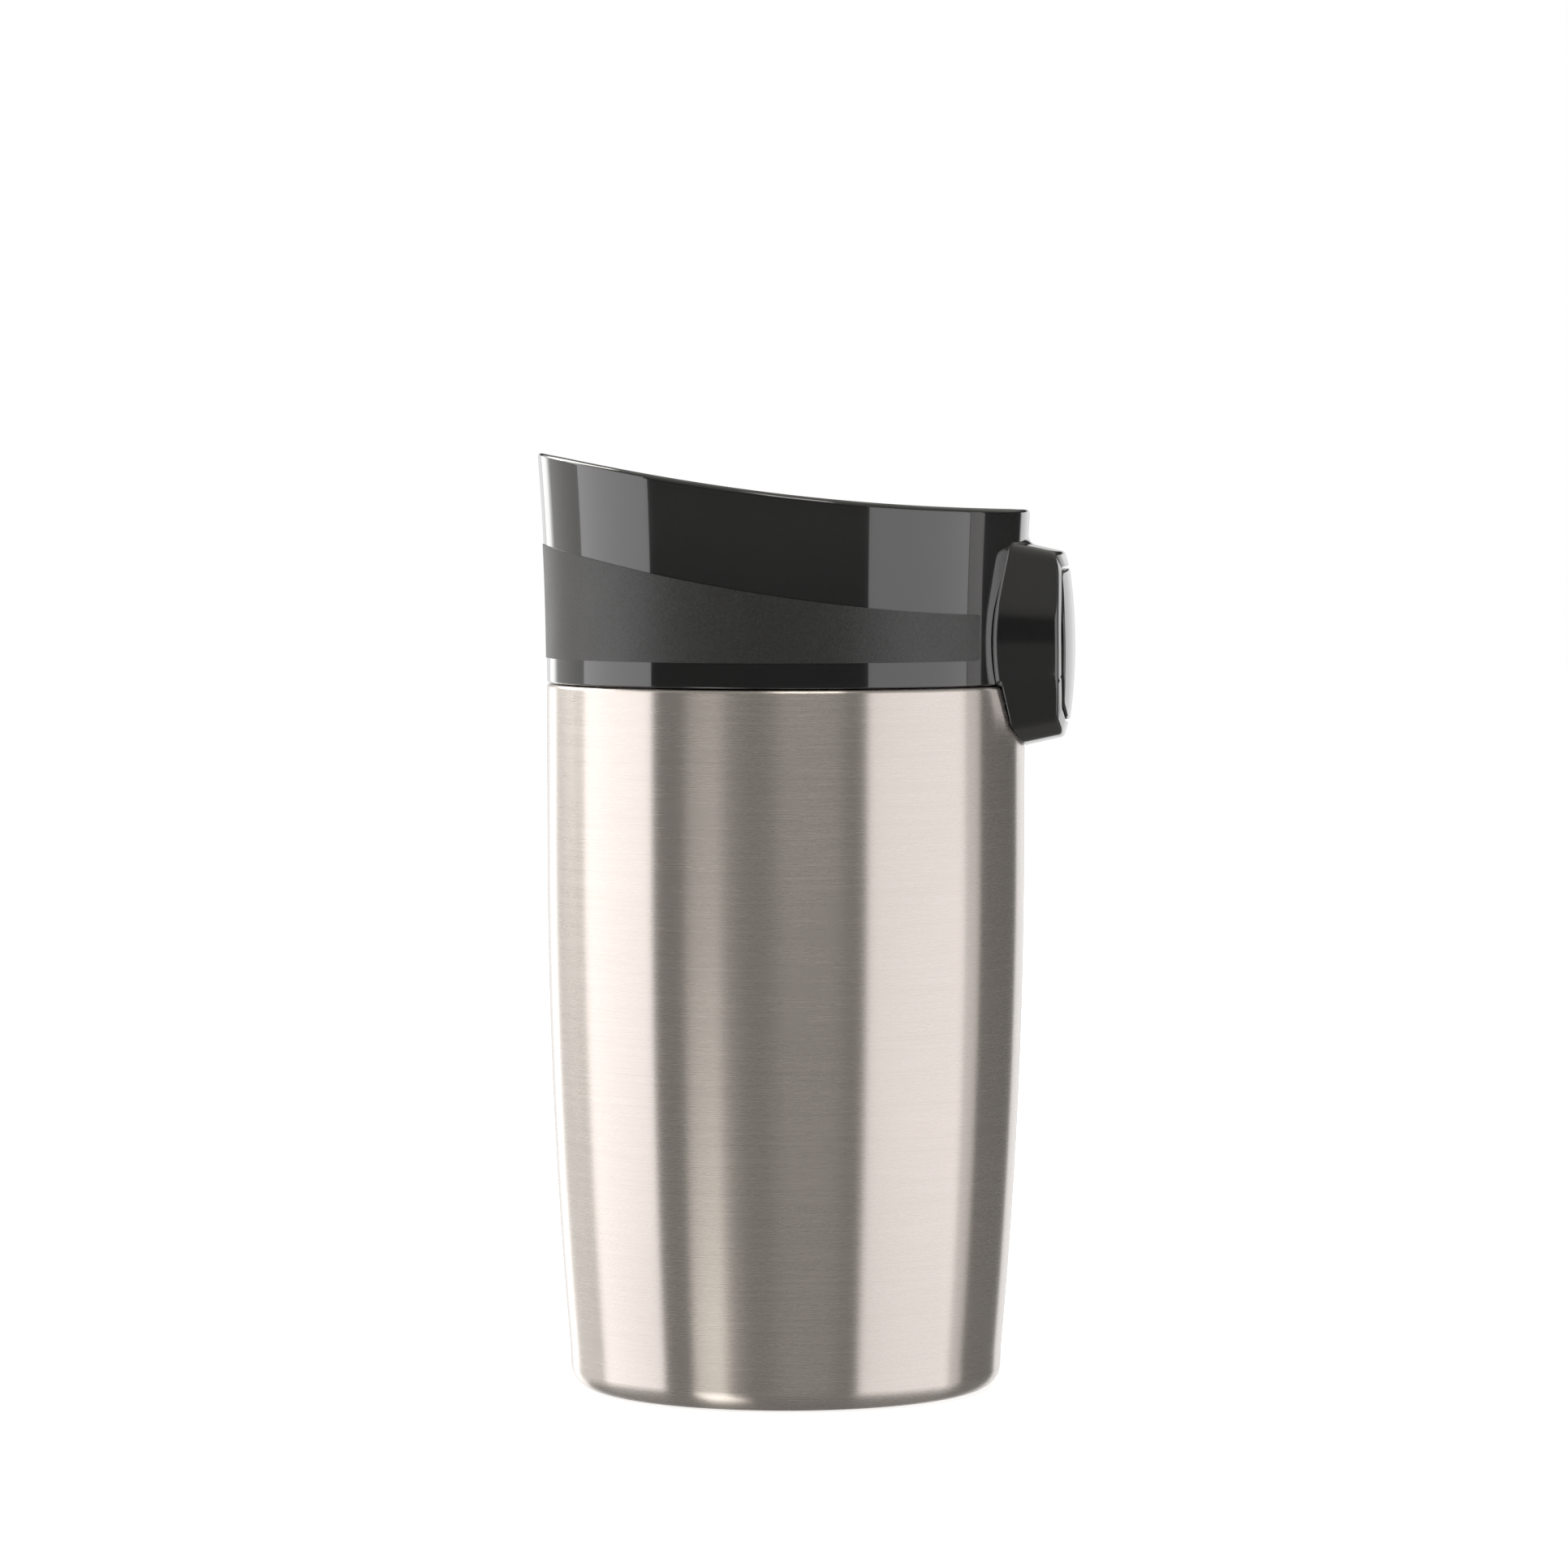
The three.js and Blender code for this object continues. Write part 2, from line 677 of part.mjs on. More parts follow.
// The shield given depth along X, narrowing outwards.
function shieldBlock(inset, from, to) {
  const options = { depth: to - from, bevelEnabled: false, curveSegments: 5 };
  const geometry = new THREE.ExtrudeGeometry(shieldShape(inset), options);
  const position = geometry.attributes.position;
  for (let i = 0; i < position.count; i++) {
    const x = from + position.getZ(i);
    const size = 1 - shieldTaper * (x - bodyRadius - shieldPlane);
    position.setXYZ(i, x, position.getX(i) * size, shieldMiddle + position.getY(i) * size);
  }
  return geometry;
}

// A barrel whose side is the curved front of the housing or of the button.
function frontBarrel(front, sideArc, crest) {
  const reach = shieldTop - shieldBottom;
  const steps = 12;
  const side = Array.from({ length: steps + 1 }, (_, i) => {
    const z = crest - reach + (2 * reach * i) / steps;
    return [frontArc - sideArc + Math.sqrt(sideArc ** 2 - (z - crest) ** 2), z];
  });
  const outline = [[0, crest - reach], ...side, [0, crest + reach]];
  return turned(outline, 2 * roundSegments).translate(front - frontArc, 0, 0);
}

// The round space that the lid and the steel take up, grown by a clearance for each.
function mugSpace(lidClearance, steelClearance) {
  const [low, high] = [shieldBottom - shieldHalfHeight, shieldTop + shieldHalfHeight];
  const steel = bodyRadius + steelClearance;
  const step = bodyTop + lidGap + lidChamfer;
  const levels = [0, 0.25, 0.5, 1].map((share) => step + steelClearance + (high - step) * share);
  return turned([
    [0, low],
    [steel, low],
    [steel, step],
    ...levels.map((z) => [lidRadius(z) + lidClearance, z]),
    [0, high],
  ]);
}

function buttonHousing() {
  const back = bodyRadius / 2; // well inside the lid, whose space is cut away
  const clear = buttonFront + overcut;
  const block = solidFrom(shieldBlock(0, back, clear))
    .intersect(solidFrom(frontBarrel(housingFront, housingArc, shieldMiddle)))
    .subtract(solidFrom(mugSpace(weldGap, housingClearance)));
  const wall = housingBack + housingClearance;
  const room = solidFrom(shieldBlock(rimInset, back, clear))
    .subtract(solidFrom(mugSpace(wall, wall)));
  const passage = returnCoil + springWire + springPassage;
  const hole = barAlongX(passage, back, housingFront, rodHeight);
  return block.subtract(room).subtract(solidFrom(hole));
}

function pushButton() {
  const cap = solidFrom(shieldBlock(rimInset + buttonGap, buttonBack, buttonFront + overcut))
    .intersect(solidFrom(frontBarrel(buttonFront, buttonArc, shieldMiddle)));
  const boss = barAlongX(bossRadius, bossEnd, buttonBack + buttonThickness / 3, rodHeight);
  const stub = rodRadius - stubStep;
  const socket = barAlongX(stub + weldGap, bossEnd - overcut, bossEnd + socketDepth, rodHeight);
  return cap.add(solidFrom(boss)).subtract(solidFrom(socket));
}

// Push rod and guide -------------------------------------------------------------------------

// A point given in the deck's frame, as [x, z] of the mug.
function deckPoint(along, out) {
  const point = new THREE.Vector3(along, 0, out).applyMatrix4(deckPlace);
  return [point.x, point.z];
}

// The valve's tail hangs down to this far below the deck, where it rests on the rod's nose.
const tailAlong = pivotAlong + tailReach;
const tipHeight = rodHeight + tailAbove;
const tailBelow = (tipHeight - deckPoint(tailAlong, 0)[1]) / Math.cos(deckTilt);
const [tipX, tipZ] = deckPoint(tailAlong, tailBelow);

// Slope of the rod's nose: it lifts the valve's tail by just what the valve's turn needs.
function noseSlope() {
  const [pivotX, pivotZ] = deckPoint(pivotAlong, pivotBelow);
  const turn = THREE.MathUtils.degToRad(valveTurn);
  const [dx, dz] = [tipX - pivotX, tipZ - pivotZ];
  const shift = dx * Math.cos(turn) - dz * Math.sin(turn) - dx;
  const lift = dx * Math.sin(turn) + dz * Math.cos(turn) - dz;
  return lift / (buttonStroke + shift);
}

const noseHalfWidth = rodRadius + noseWiden;
const sealMiddle = guideOuter - sealSetback;
const sealRadius = guideBore - sealSlip;

function pushRod() {
  const slope = noseSlope();
  const below = (tailTipRadius + runningGap) * Math.hypot(1, slope);
  const faceAt = (x) => tipZ - below + slope * (x - tipX);
  const [low, high] = [rodHeight - rodRadius, rodHeight + rodRadius];
  const tip = tipX - noseLength;
  const stop = guideInner - noseStop;
  const nose = [
    [tip, low],
    [stop, low],
    [stop, high],
    [tipX + (high - faceAt(tipX)) / slope, high],
    [tip, faceAt(tip)],
  ];
  const groove = sealRadius - 2 * sealWire - weldGap / 2;
  const [grooveFrom, grooveTo] = [-1, 1].map((side) => sealMiddle + side * (sealWire + weldGap));
  const shoulder = bossEnd - weldGap;
  const stub = rodRadius - stubStep;
  const shaft = turnedAlongX([
    [0, stop - noseStop],
    [rodRadius, stop - noseStop],
    [rodRadius, grooveFrom],
    [groove, grooveFrom],
    [groove, grooveTo],
    [rodRadius, grooveTo],
    [rodRadius, shoulder],
    [stub, shoulder],
    [stub, bossEnd + stubLength],
    [0, bossEnd + stubLength],
  ]).translate(0, 0, rodHeight);
  return joined(plate(nose, -noseHalfWidth, noseHalfWidth), shaft);
}

function rodSeal() {
  const ring = new THREE.TorusGeometry(sealRadius - sealWire, sealWire, 8, smallSegments);
  return ring.rotateY(Math.PI / 2).translate(sealMiddle, 0, rodHeight);
}

// The bush that guides the rod through the lid's wall, with its flange on the inside.
function rodGuide() {
  const wallInside = lidRadius(rodHeight - guideFlange) - lidWall;
  const flangeOut = Math.sqrt(wallInside ** 2 - guideFlange ** 2) - 2 * weldGap;
  return turnedAlongX([
    [guideBore, guideInner],
    [guideRadius, guideInner],
    [guideRadius, flangeOut - guideFlangeWall],
    [guideFlange, flangeOut - guideFlangeWall],
    [guideFlange, flangeOut],
    [guideRadius, flangeOut],
    [guideRadius, guideOuter],
    [guideBore, guideOuter],
  ]).translate(0, 0, rodHeight);
}

// A curve given by a function of the share of its length.
class Coil extends THREE.Curve {
  constructor(pointAt) {
    super();
    this.pointAt = pointAt;
  }
  getPoint(t, target = new THREE.Vector3()) {
    return target.copy(this.pointAt(t));
  }
}

function returnSpring() {
  const from = guideOuter + springWire + springPlay;
  const to = buttonBack - springWire - springPlay;
  const path = new Coil((t) => {
    const angle = 2 * Math.PI * returnSpringTurns * t;
    const [y, z] = [returnCoil * Math.cos(angle), returnCoil * Math.sin(angle)];
    return new THREE.Vector3(from + (to - from) * t, y, rodHeight + z);
  });
  return wire(path, Math.round(returnSpringTurns * coilSegments), springWire);
}

// Valve --------------------------------------------------------------------------------------

function armPin() {
  return atPivot(barAlongY(pinRadius, lugOuter));
}

function valveArm() {
  const bottom = armTop - armThickness;
  const armEnd = slotCentre - armOverhang;
  const hubEdge = 0.8 * hubRadius; // where the tail and the yoke leave the hub
  const plane = [[armEnd, bottom], [pivotAlong, bottom], [pivotAlong, armTop], [armEnd, armTop]];
  const tail = [
    [pivotAlong, pivotBelow - hubEdge],
    [tailAlong - tailTipRadius, tailBelow],
    [tailAlong + tailTipRadius, tailBelow],
    [tailAlong + tailTipRadius, tailBelow + tailThickness],
    [pivotAlong + hubRadius, pivotBelow + hubEdge],
  ];
  const yokeEnd = pivotAlong + notchReach + hubRadius;
  const yoke = [
    [pivotAlong, pivotBelow - hubEdge],
    [yokeEnd, pivotBelow - hubEdge],
    [yokeEnd, pivotBelow + hubRadius / 2],
    [pivotAlong, pivotBelow + hubEdge],
  ];
  const notch = new THREE.BoxGeometry(2 * notchReach, 2 * notchHalf, 8 * hubRadius);
  const tip = barAlongY(tailTipRadius, noseHalfWidth).translate(tailAlong, 0, tailBelow);
  const cuts = [
    atPivot(barAlongY(pinRadius + pinGap, armHalfWidth + overcut)),
    atPivot(notch),
    barUp(stemRadius + pinGap, bottom - overcut, armTop + overcut).translate(slotCentre, 0, 0),
    barUp(ventStem + pinGap, bottom - overcut, armTop + overcut).translate(ventAlong, 0, 0),
  ];
  const solid = joined(
    plate(plane, -armHalfWidth, armHalfWidth),
    plate(yoke, -armHalfWidth, armHalfWidth),
    plate(tail, -noseHalfWidth, noseHalfWidth),
    atPivot(barAlongY(hubRadius, armHalfWidth)),
    tip,
  );
  return cuts.reduce((rest, cut) => rest.subtract(solidFrom(cut)), solid);
}

// A seal's flange on top of the arm, its stem through the arm and the head that holds it there.
function sealOnArm(centre, flange, nose, stem, head) {
  const under = armTop - armThickness - pinGap;
  const shank = barUp(stem, under - headThickness / 2, armTop + 2 * pinGap);
  const knob = barUp(head, under - headThickness, under);
  return joined(flange, nose, shank.translate(centre, 0, 0), knob.translate(centre, 0, 0));
}

function drinkSeal() {
  const [width, length] = [slotHalfWidth, slotHalfLength];
  const low = armTop + pinGap;
  const flange = slotBlock(slotCentre, width + sealSpread, length + sealSpread, low, -sealGap);
  const nose = slotBlock(slotCentre, width - sealGap, length - sealGap, -sealGap - noseRoot, noseRise);
  return sealOnArm(slotCentre, flange, nose, stemRadius, headRadius);
}

function ventSeal() {
  const flange = barUp(ventFlange, armTop + pinGap, -sealGap).translate(ventAlong, 0, 0);
  const nose = turned(
    [
      [0, -sealGap - noseRoot],
      [ventRadius - sealGap, -sealGap - noseRoot],
      [ventRadius - sealGap, 0],
      [ventRadius - 2 * sealGap, noseRise],
      [0, noseRise],
    ],
    smallSegments,
  ).translate(ventAlong, 0, 0);
  return sealOnArm(ventAlong, flange, nose, ventStem, ventHead);
}

// A torsion spring round the pin. One leg pushes the arm up, the other rests against the deck.
function valveSpring() {
  const reach = (coilTurns * coilPitch) / 2;
  const armLegOut = armTop - armThickness - springWire - springPlay;
  const points = [new THREE.Vector3(pivotAlong - armLegLength, -reach, armLegOut)];
  const coilPoints = coilSegments * coilTurns;
  for (let i = 0; i <= coilPoints; i++) {
    const share = i / coilPoints;
    const angle = 2 * Math.PI * ((coilTurns + 0.25) * share - 0.25);
    const along = pivotAlong + coilRadius * Math.cos(angle);
    const out = pivotBelow + coilRadius * Math.sin(angle);
    points.push(new THREE.Vector3(along, reach * (2 * share - 1), out));
  }
  points.push(new THREE.Vector3(pivotAlong + deckLegReach, reach, -springWire - sealGap));
  const path = new THREE.CatmullRomCurve3(points, false, "centripetal");
  return wire(path, coilPoints + coilSegments, springWire, 5);
}

// Assembly -----------------------------------------------------------------------------------

const vessel = new THREE.Group();
vessel.add(
  part("outer_shell", outerShell(), brushedSteel),
  part("inner_liner", innerLiner(), plainSteel),
  part("shell_bottom", shellBottom(), plainSteel),
  part("base_cap", baseCap(), plainSteel),
  part("vacuum_seal_bead", sealBead(), sealingGlass),
  part("getter", getter(), getterMetal),
);

const valve = new THREE.Group();
valve.applyMatrix4(deckPlace);
valve.add(
  part("arm_pin", armPin(), springSteel),
  part("valve_arm", valveArm(), innerBlack),
  part("drink_seal", drinkSeal(), silicone),
  part("vent_seal", ventSeal(), silicone),
  part("valve_spring", valveSpring(), springSteel),
);

const button = new THREE.Group();
button.add(
  part("push_button", pushButton(), glossBlack),
  part("push_rod", pushRod(), innerBlack),
  part("rod_seal", rodSeal(), silicone),
  part("return_spring", returnSpring(), springSteel),
);

const lid = new THREE.Group();
lid.add(
  part("lid_shell", lidShell(), glossBlack),
  part("grip_band", gripBandShape(0, 0), softBlack),
  part("screw_plug", screwPlug(), innerBlack),
  part("neck_gasket", neckGasket(), silicone),
  part("button_housing", buttonHousing(), glossBlack),
  part("rod_guide", rodGuide(), innerBlack),
  valve,
  button,
);

const mug = new THREE.Group();
mug.add(vessel, lid);

export default mug;
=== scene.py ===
import json
import math
import bmesh
import bpy
from mathutils import Matrix, Vector

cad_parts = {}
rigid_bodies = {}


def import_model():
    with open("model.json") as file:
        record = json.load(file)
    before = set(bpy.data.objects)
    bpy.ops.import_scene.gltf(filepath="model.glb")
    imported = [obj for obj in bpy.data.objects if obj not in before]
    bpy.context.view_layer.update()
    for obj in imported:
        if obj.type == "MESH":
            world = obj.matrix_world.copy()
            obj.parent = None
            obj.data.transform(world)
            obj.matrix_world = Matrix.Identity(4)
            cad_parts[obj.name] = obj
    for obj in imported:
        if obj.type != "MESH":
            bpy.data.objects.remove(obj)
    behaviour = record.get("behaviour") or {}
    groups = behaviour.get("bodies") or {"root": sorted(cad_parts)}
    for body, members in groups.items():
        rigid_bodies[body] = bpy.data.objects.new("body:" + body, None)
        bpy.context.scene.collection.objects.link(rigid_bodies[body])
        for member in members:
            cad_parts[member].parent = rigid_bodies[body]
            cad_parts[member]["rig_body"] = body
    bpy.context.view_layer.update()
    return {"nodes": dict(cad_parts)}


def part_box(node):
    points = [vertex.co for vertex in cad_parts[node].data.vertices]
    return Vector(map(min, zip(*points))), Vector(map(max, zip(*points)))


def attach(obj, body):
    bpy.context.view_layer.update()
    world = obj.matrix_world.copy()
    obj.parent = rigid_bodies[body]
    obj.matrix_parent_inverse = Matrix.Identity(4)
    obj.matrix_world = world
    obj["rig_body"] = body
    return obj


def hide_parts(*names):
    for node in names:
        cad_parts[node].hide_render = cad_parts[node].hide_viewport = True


# Insulated travel mug. Lengths in the dictionaries are millimetres, as on the drawing.
mm = 0.001
close = {"ring": 2e-3, "level": 1e-3, "merge": 1e-4}  # how near counts as the same place
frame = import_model()
nodes = frame["nodes"]
print("frame loaded:", len(nodes), "nodes")


# Camera: a long lens a metre away, a little above the rim and tipped down
camera = {"distance": 1029.3, "height": 145, "side": -0.3, "tip": 2.68, "lens": 147.1}


def makeCamera():
    data = bpy.data.cameras.new("camera")
    data.lens = camera["lens"]
    obj = bpy.data.objects.new("camera", data)
    obj.location = (camera["side"] * mm, -camera["distance"] * mm, camera["height"] * mm)
    obj.rotation_euler = (math.radians(90 - camera["tip"]), 0, 0)
    bpy.context.scene.collection.objects.link(obj)
    bpy.context.scene.camera = obj


makeCamera()


# Working in millimetres from the CAD boxes
def boxOf(node):
    low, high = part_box(node)
    return low / mm, high / mm


# A finished piece stands for CAD nodes and moves with their body.
# Edges that turn by more degrees than the crease stay sharp.
def finishPiece(name, bm, material, *stoodFor, slot, crease=40):
    for edge in bm.edges:
        if len(edge.link_faces) == 2:
            edge.smooth = edge.calc_face_angle(0) < math.radians(crease)
    for face in bm.faces:
        face.smooth = True
    bm.transform(Matrix.Scale(mm, 4))
    mesh = bpy.data.meshes.new(name)
    bm.to_mesh(mesh)
    bm.free()
    mesh.materials.append(material)
    obj = bpy.data.objects.new(name, mesh)
    bpy.context.scene.collection.objects.link(obj)
    even = obj.modifiers.new("evenNormals", "WEIGHTED_NORMAL")
    even.keep_sharp = True
    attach(obj, nodes[stoodFor[0]]["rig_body"])
    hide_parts(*stoodFor)
    print("made", name, len(mesh.polygons), "faces")
    return obj


# An outline of (radius, height) points, closed, spun about the mug's axis
def spinOutline(bm, outline, steps):
    verts = [bm.verts.new((point[0], 0, point[1])) for point in outline]
    edges = [bm.edges.new(pair) for pair in zip(verts, verts[1:] + verts[:1])]
    bmesh.ops.spin(bm, geom=verts + edges, cent=(0, 0, 0), axis=(0, 0, 1), angle=2 * math.pi,
                   steps=steps, use_merge=True)
    bmesh.ops.remove_doubles(bm, verts=bm.verts[:], dist=close["merge"])
    bmesh.ops.recalc_face_normals(bm, faces=bm.faces[:])


def ringEdges(bm, radius, height):
    def onRing(vert):
        off = math.hypot(vert.co.x, vert.co.y) - radius
        return abs(off) < close["ring"] and abs(vert.co.z - height) < close["ring"]
    return [e for e in bm.edges if onRing(e.verts[0]) and onRing(e.verts[1])]


def bevelEdges(bm, edges, width, segments=4):
    bmesh.ops.bevel(bm, geom=edges, offset=width, offset_type="OFFSET", segments=segments,
                    profile=0.5, affect="EDGES", material=-1, clamp_overlap=True)


# One more loop grown from open edges; it starts on top of the old one
def growLoop(bm, edges):
    grown = bmesh.ops.extrude_edge_only(bm, edges=edges)["geom"]
    newEdges = [g for g in grown if isinstance(g, bmesh.types.BMEdge)]
    newVerts = [g for g in grown if isinstance(g, bmesh.types.BMVert)]
    return newEdges, newVerts


# A turned piece: points are (radius, height) or (radius, height, roundness)
def turnedMesh(points, steps, segments=5):
    bm = bmesh.new()
    spinOutline(bm, points, steps)
    for point in points:
        if len(point) == 3:
            bevelEdges(bm, ringEdges(bm, point[0], point[1]), point[2], segments)
    return bm


def addMesh(bm, other):
    held = bpy.data.meshes.new("held")
    other.to_mesh(held)
    other.free()
    bm.from_mesh(held)
    bpy.data.meshes.remove(held)


# Materials: noise fields in object space set the color, the roughness and a slight bump
def newMaterial(name, color, metallic=0.0, roughness=0.5):
    material = bpy.data.materials.new(name)
    material.use_nodes = True
    material.diffuse_color = (*color, 1)
    shader = material.node_tree.nodes["Principled BSDF"]
    shader.inputs["Base Color"].default_value = (*color, 1)
    shader.inputs["Metallic"].default_value = metallic
    shader.inputs["Roughness"].default_value = roughness
    return material, material.node_tree, shader


# Noise in object space; stretch is in turns of the pattern per metre along x, y and z
def noiseField(tree, stretch, detail=2.0, roughness=0.5, distortion=0.0):
    place = tree.nodes.new("ShaderNodeTexCoord")
    mapping = tree.nodes.new("ShaderNodeMapping")
    mapping.inputs["Scale"].default_value = stretch
    noise = tree.nodes.new("ShaderNodeTexNoise")
    noise.inputs["Scale"].default_value = 1
    noise.inputs["Detail"].default_value = detail
    noise.inputs["Roughness"].default_value = roughness
    noise.inputs["Distortion"].default_value = distortion
    tree.links.new(place.outputs["Object"], mapping.inputs["Vector"])
    tree.links.new(mapping.outputs["Vector"], noise.inputs["Vector"])
    return noise.outputs["Fac"]


def spread(tree, value, low, high, fromLow=0.25, fromHigh=0.75):
    node = tree.nodes.new("ShaderNodeMapRange")
    node.inputs["From Min"].default_value = fromLow
    node.inputs["From Max"].default_value = fromHigh
    node.inputs["To Min"].default_value = low
    node.inputs["To Max"].default_value = high
    tree.links.new(value, node.inputs["Value"])
    return node.outputs["Result"]


def blendColors(tree, value, first, second):
    node = tree.nodes.new("ShaderNodeMix")
    node.data_type = "RGBA"
    node.inputs["A"].default_value = (*first, 1)
    node.inputs["B"].default_value = (*second, 1)
    tree.links.new(value, node.inputs["Factor"])
    return node.outputs["Result"]


def sumOf(tree, first, second, share=0.5):
    node = tree.nodes.new("ShaderNodeMix")
    node.data_type = "FLOAT"
    node.inputs["Factor"].default_value = share
    tree.links.new(first, node.inputs["A"])
    tree.links.new(second, node.inputs["B"])
    return node.outputs["Result"]


def bumpFrom(tree, shader, height, strength, distance):
    node = tree.nodes.new("ShaderNodeBump")
    node.inputs["Strength"].default_value = strength
    node.inputs["Distance"].default_value = distance
    tree.links.new(height, node.inputs["Height"])
    tree.links.new(node.outputs["Normal"], shader.inputs["Normal"])


brushed = {"light": (0.78, 0.715, 0.675), "dark": (0.7, 0.645, 0.605), "roughness": (0.255, 0.29)}


def brushedSteel():
    material, tree, shader = newMaterial("brushedSteel", brushed["light"], 0.9, 0.3)
    fine = noiseField(tree, (70, 70, 5200), 3, 0.6)
    broad = noiseField(tree, (28, 28, 1300), 2, 0.5)
    handled = noiseField(tree, (45, 45, 38), 3, 0.5)
    streaks = sumOf(tree, fine, broad, 0.3)
    shade = spread(tree, streaks, 0, 1, 0.3, 0.7)
    color = blendColors(tree, shade, brushed["dark"], brushed["light"])
    tree.links.new(color, shader.inputs["Base Color"])
    rough = sumOf(tree, streaks, handled, 0.35)
    tree.links.new(spread(tree, rough, *brushed["roughness"]), shader.inputs["Roughness"])
    shader.inputs["Anisotropic"].default_value = 1.0
    shader.inputs["Anisotropic Rotation"].default_value = 0.25
    place = tree.nodes.new("ShaderNodeTexCoord")
    around = tree.nodes.new("ShaderNodeVectorMath")  # direction of the brush, round the axis
    around.operation = "CROSS_PRODUCT"
    around.inputs[0].default_value = (0, 0, 1)
    tree.links.new(place.outputs["Object"], around.inputs[1])
    tree.links.new(around.outputs["Vector"], shader.inputs["Tangent"])
    bumpFrom(tree, shader, streaks, 0.1, 0.00002)
    return material


def glossPlastic(name, color):
    material, tree, shader = newMaterial(name, color, 0.0, 0.1)
    flow = noiseField(tree, (60, 60, 60), 2)
    smudge = noiseField(tree, (160, 160, 110), 4, 0.6)
    tree.links.new(spread(tree, smudge, 0.07, 0.13), shader.inputs["Roughness"])
    deeper = tuple(0.8 * c for c in color)
    tree.links.new(blendColors(tree, flow, deeper, color), shader.inputs["Base Color"])
    shader.inputs["IOR"].default_value = 1.5
    shader.inputs["Coat Weight"].default_value = 1.0
    shader.inputs["Coat IOR"].default_value = 1.62
    shader.inputs["Coat Roughness"].default_value = 0.02
    bumpFrom(tree, shader, flow, 0.01, 0.0001)
    return material


def softTouch():
    material, tree, shader = newMaterial("softTouchRubber", (0.02, 0.02, 0.02), 0.0, 0.6)
    grain = noiseField(tree, (2700, 2700, 2700), 2, 0.6)
    patches = noiseField(tree, (120, 120, 120), 3)
    shade = spread(tree, grain, 0, 1, 0.35, 0.65)
    color = blendColors(tree, shade, (0.009, 0.009, 0.009), (0.022, 0.022, 0.023))
    tree.links.new(color, shader.inputs["Base Color"])
    tree.links.new(spread(tree, patches, 0.42, 0.5), shader.inputs["Roughness"])
    shader.inputs["IOR"].default_value = 1.7
    shader.inputs["Sheen Weight"].default_value = 0.06
    shader.inputs["Sheen Roughness"].default_value = 0.5
    bumpFrom(tree, shader, grain, 0.5, 0.00005)
    return material


def mouldedPlastic():
    material, tree, shader = newMaterial("mouldedPlastic", (0.02, 0.02, 0.021), 0.0, 0.4)
    grain = noiseField(tree, (2600, 2600, 2600), 2)
    flow = noiseField(tree, (90, 90, 60), 3)
    color = blendColors(tree, flow, (0.014, 0.014, 0.015), (0.028, 0.028, 0.029))
    tree.links.new(color, shader.inputs["Base Color"])
    tree.links.new(spread(tree, flow, 0.33, 0.45), shader.inputs["Roughness"])
    bumpFrom(tree, shader, grain, 0.12, 0.00003)
    return material


def siliconeRubber():
    material, tree, shader = newMaterial("siliconeRubber", (0.46, 0.46, 0.45), 0.0, 0.5)
    cloud = noiseField(tree, (300, 300, 300), 3)
    dust = noiseField(tree, (2400, 2400, 2400), 2)
    color = blendColors(tree, cloud, (0.4, 0.4, 0.39), (0.52, 0.52, 0.5))
    tree.links.new(color, shader.inputs["Base Color"])
    tree.links.new(spread(tree, dust, 0.42, 0.58), shader.inputs["Roughness"])
    shader.inputs["Subsurface Weight"].default_value = 0.15
    shader.inputs["Subsurface Radius"].default_value = (0.002, 0.002, 0.002)
    bumpFrom(tree, shader, dust, 0.08, 0.00003)
    return material


# Drawn or pressed steel; stretch sets which way its fine marks run
def drawnSteel(name, light, dark, roughness, stretch):
    material, tree, shader = newMaterial(name, light, 1.0, roughness)
    marks = noiseField(tree, stretch, 3, 0.6)
    stains = noiseField(tree, (110, 110, 110), 3)
    mixed = sumOf(tree, marks, stains, 0.4)
    color = blendColors(tree, spread(tree, mixed, 0, 1, 0.3, 0.7), dark, light)
    tree.links.new(color, shader.inputs["Base Color"])
    worn = spread(tree, mixed, roughness - 0.06, roughness + 0.08)
    tree.links.new(worn, shader.inputs["Roughness"])
    bumpFrom(tree, shader, marks, 0.1, 0.00002)
    return material


def sealingGlass():
    material, tree, shader = newMaterial("sealingGlass", (0.1, 0.14, 0.12), 0.0, 0.12)
    cloud = noiseField(tree, (900, 900, 900), 2)
    color = blendColors(tree, cloud, (0.08, 0.12, 0.1), (0.14, 0.18, 0.15))
    tree.links.new(color, shader.inputs["Base Color"])
    shader.inputs["Coat Weight"].default_value = 0.5
    bumpFrom(tree, shader, cloud, 0.05, 0.0001)
    return material


steel = brushedSteel()
linerSteel = drawnSteel("linerSteel", (0.6, 0.585, 0.57), (0.5, 0.49, 0.48), 0.28, (30, 30, 2600))
baseSteel = drawnSteel("baseSteel", (0.58, 0.55, 0.52), (0.46, 0.44, 0.42), 0.34, (1500, 1500, 60))
springSteel = drawnSteel("springSteel", (0.52, 0.52, 0.53), (0.4, 0.4, 0.41), 0.25,
                         (1400, 500, 1400))
getterMetal = drawnSteel("getterMetal", (0.2, 0.19, 0.18), (0.12, 0.115, 0.11), 0.55,
                         (800, 800, 800))
lidGloss = glossPlastic("lidGloss", (0.0115, 0.0115, 0.0118))
buttonGloss = glossPlastic("buttonGloss", (0.013, 0.013, 0.0135))
bandRubber = softTouch()
innerPlastic = mouldedPlastic()
silicone = siliconeRubber()
glass = sealingGlass()
print("materials ready")


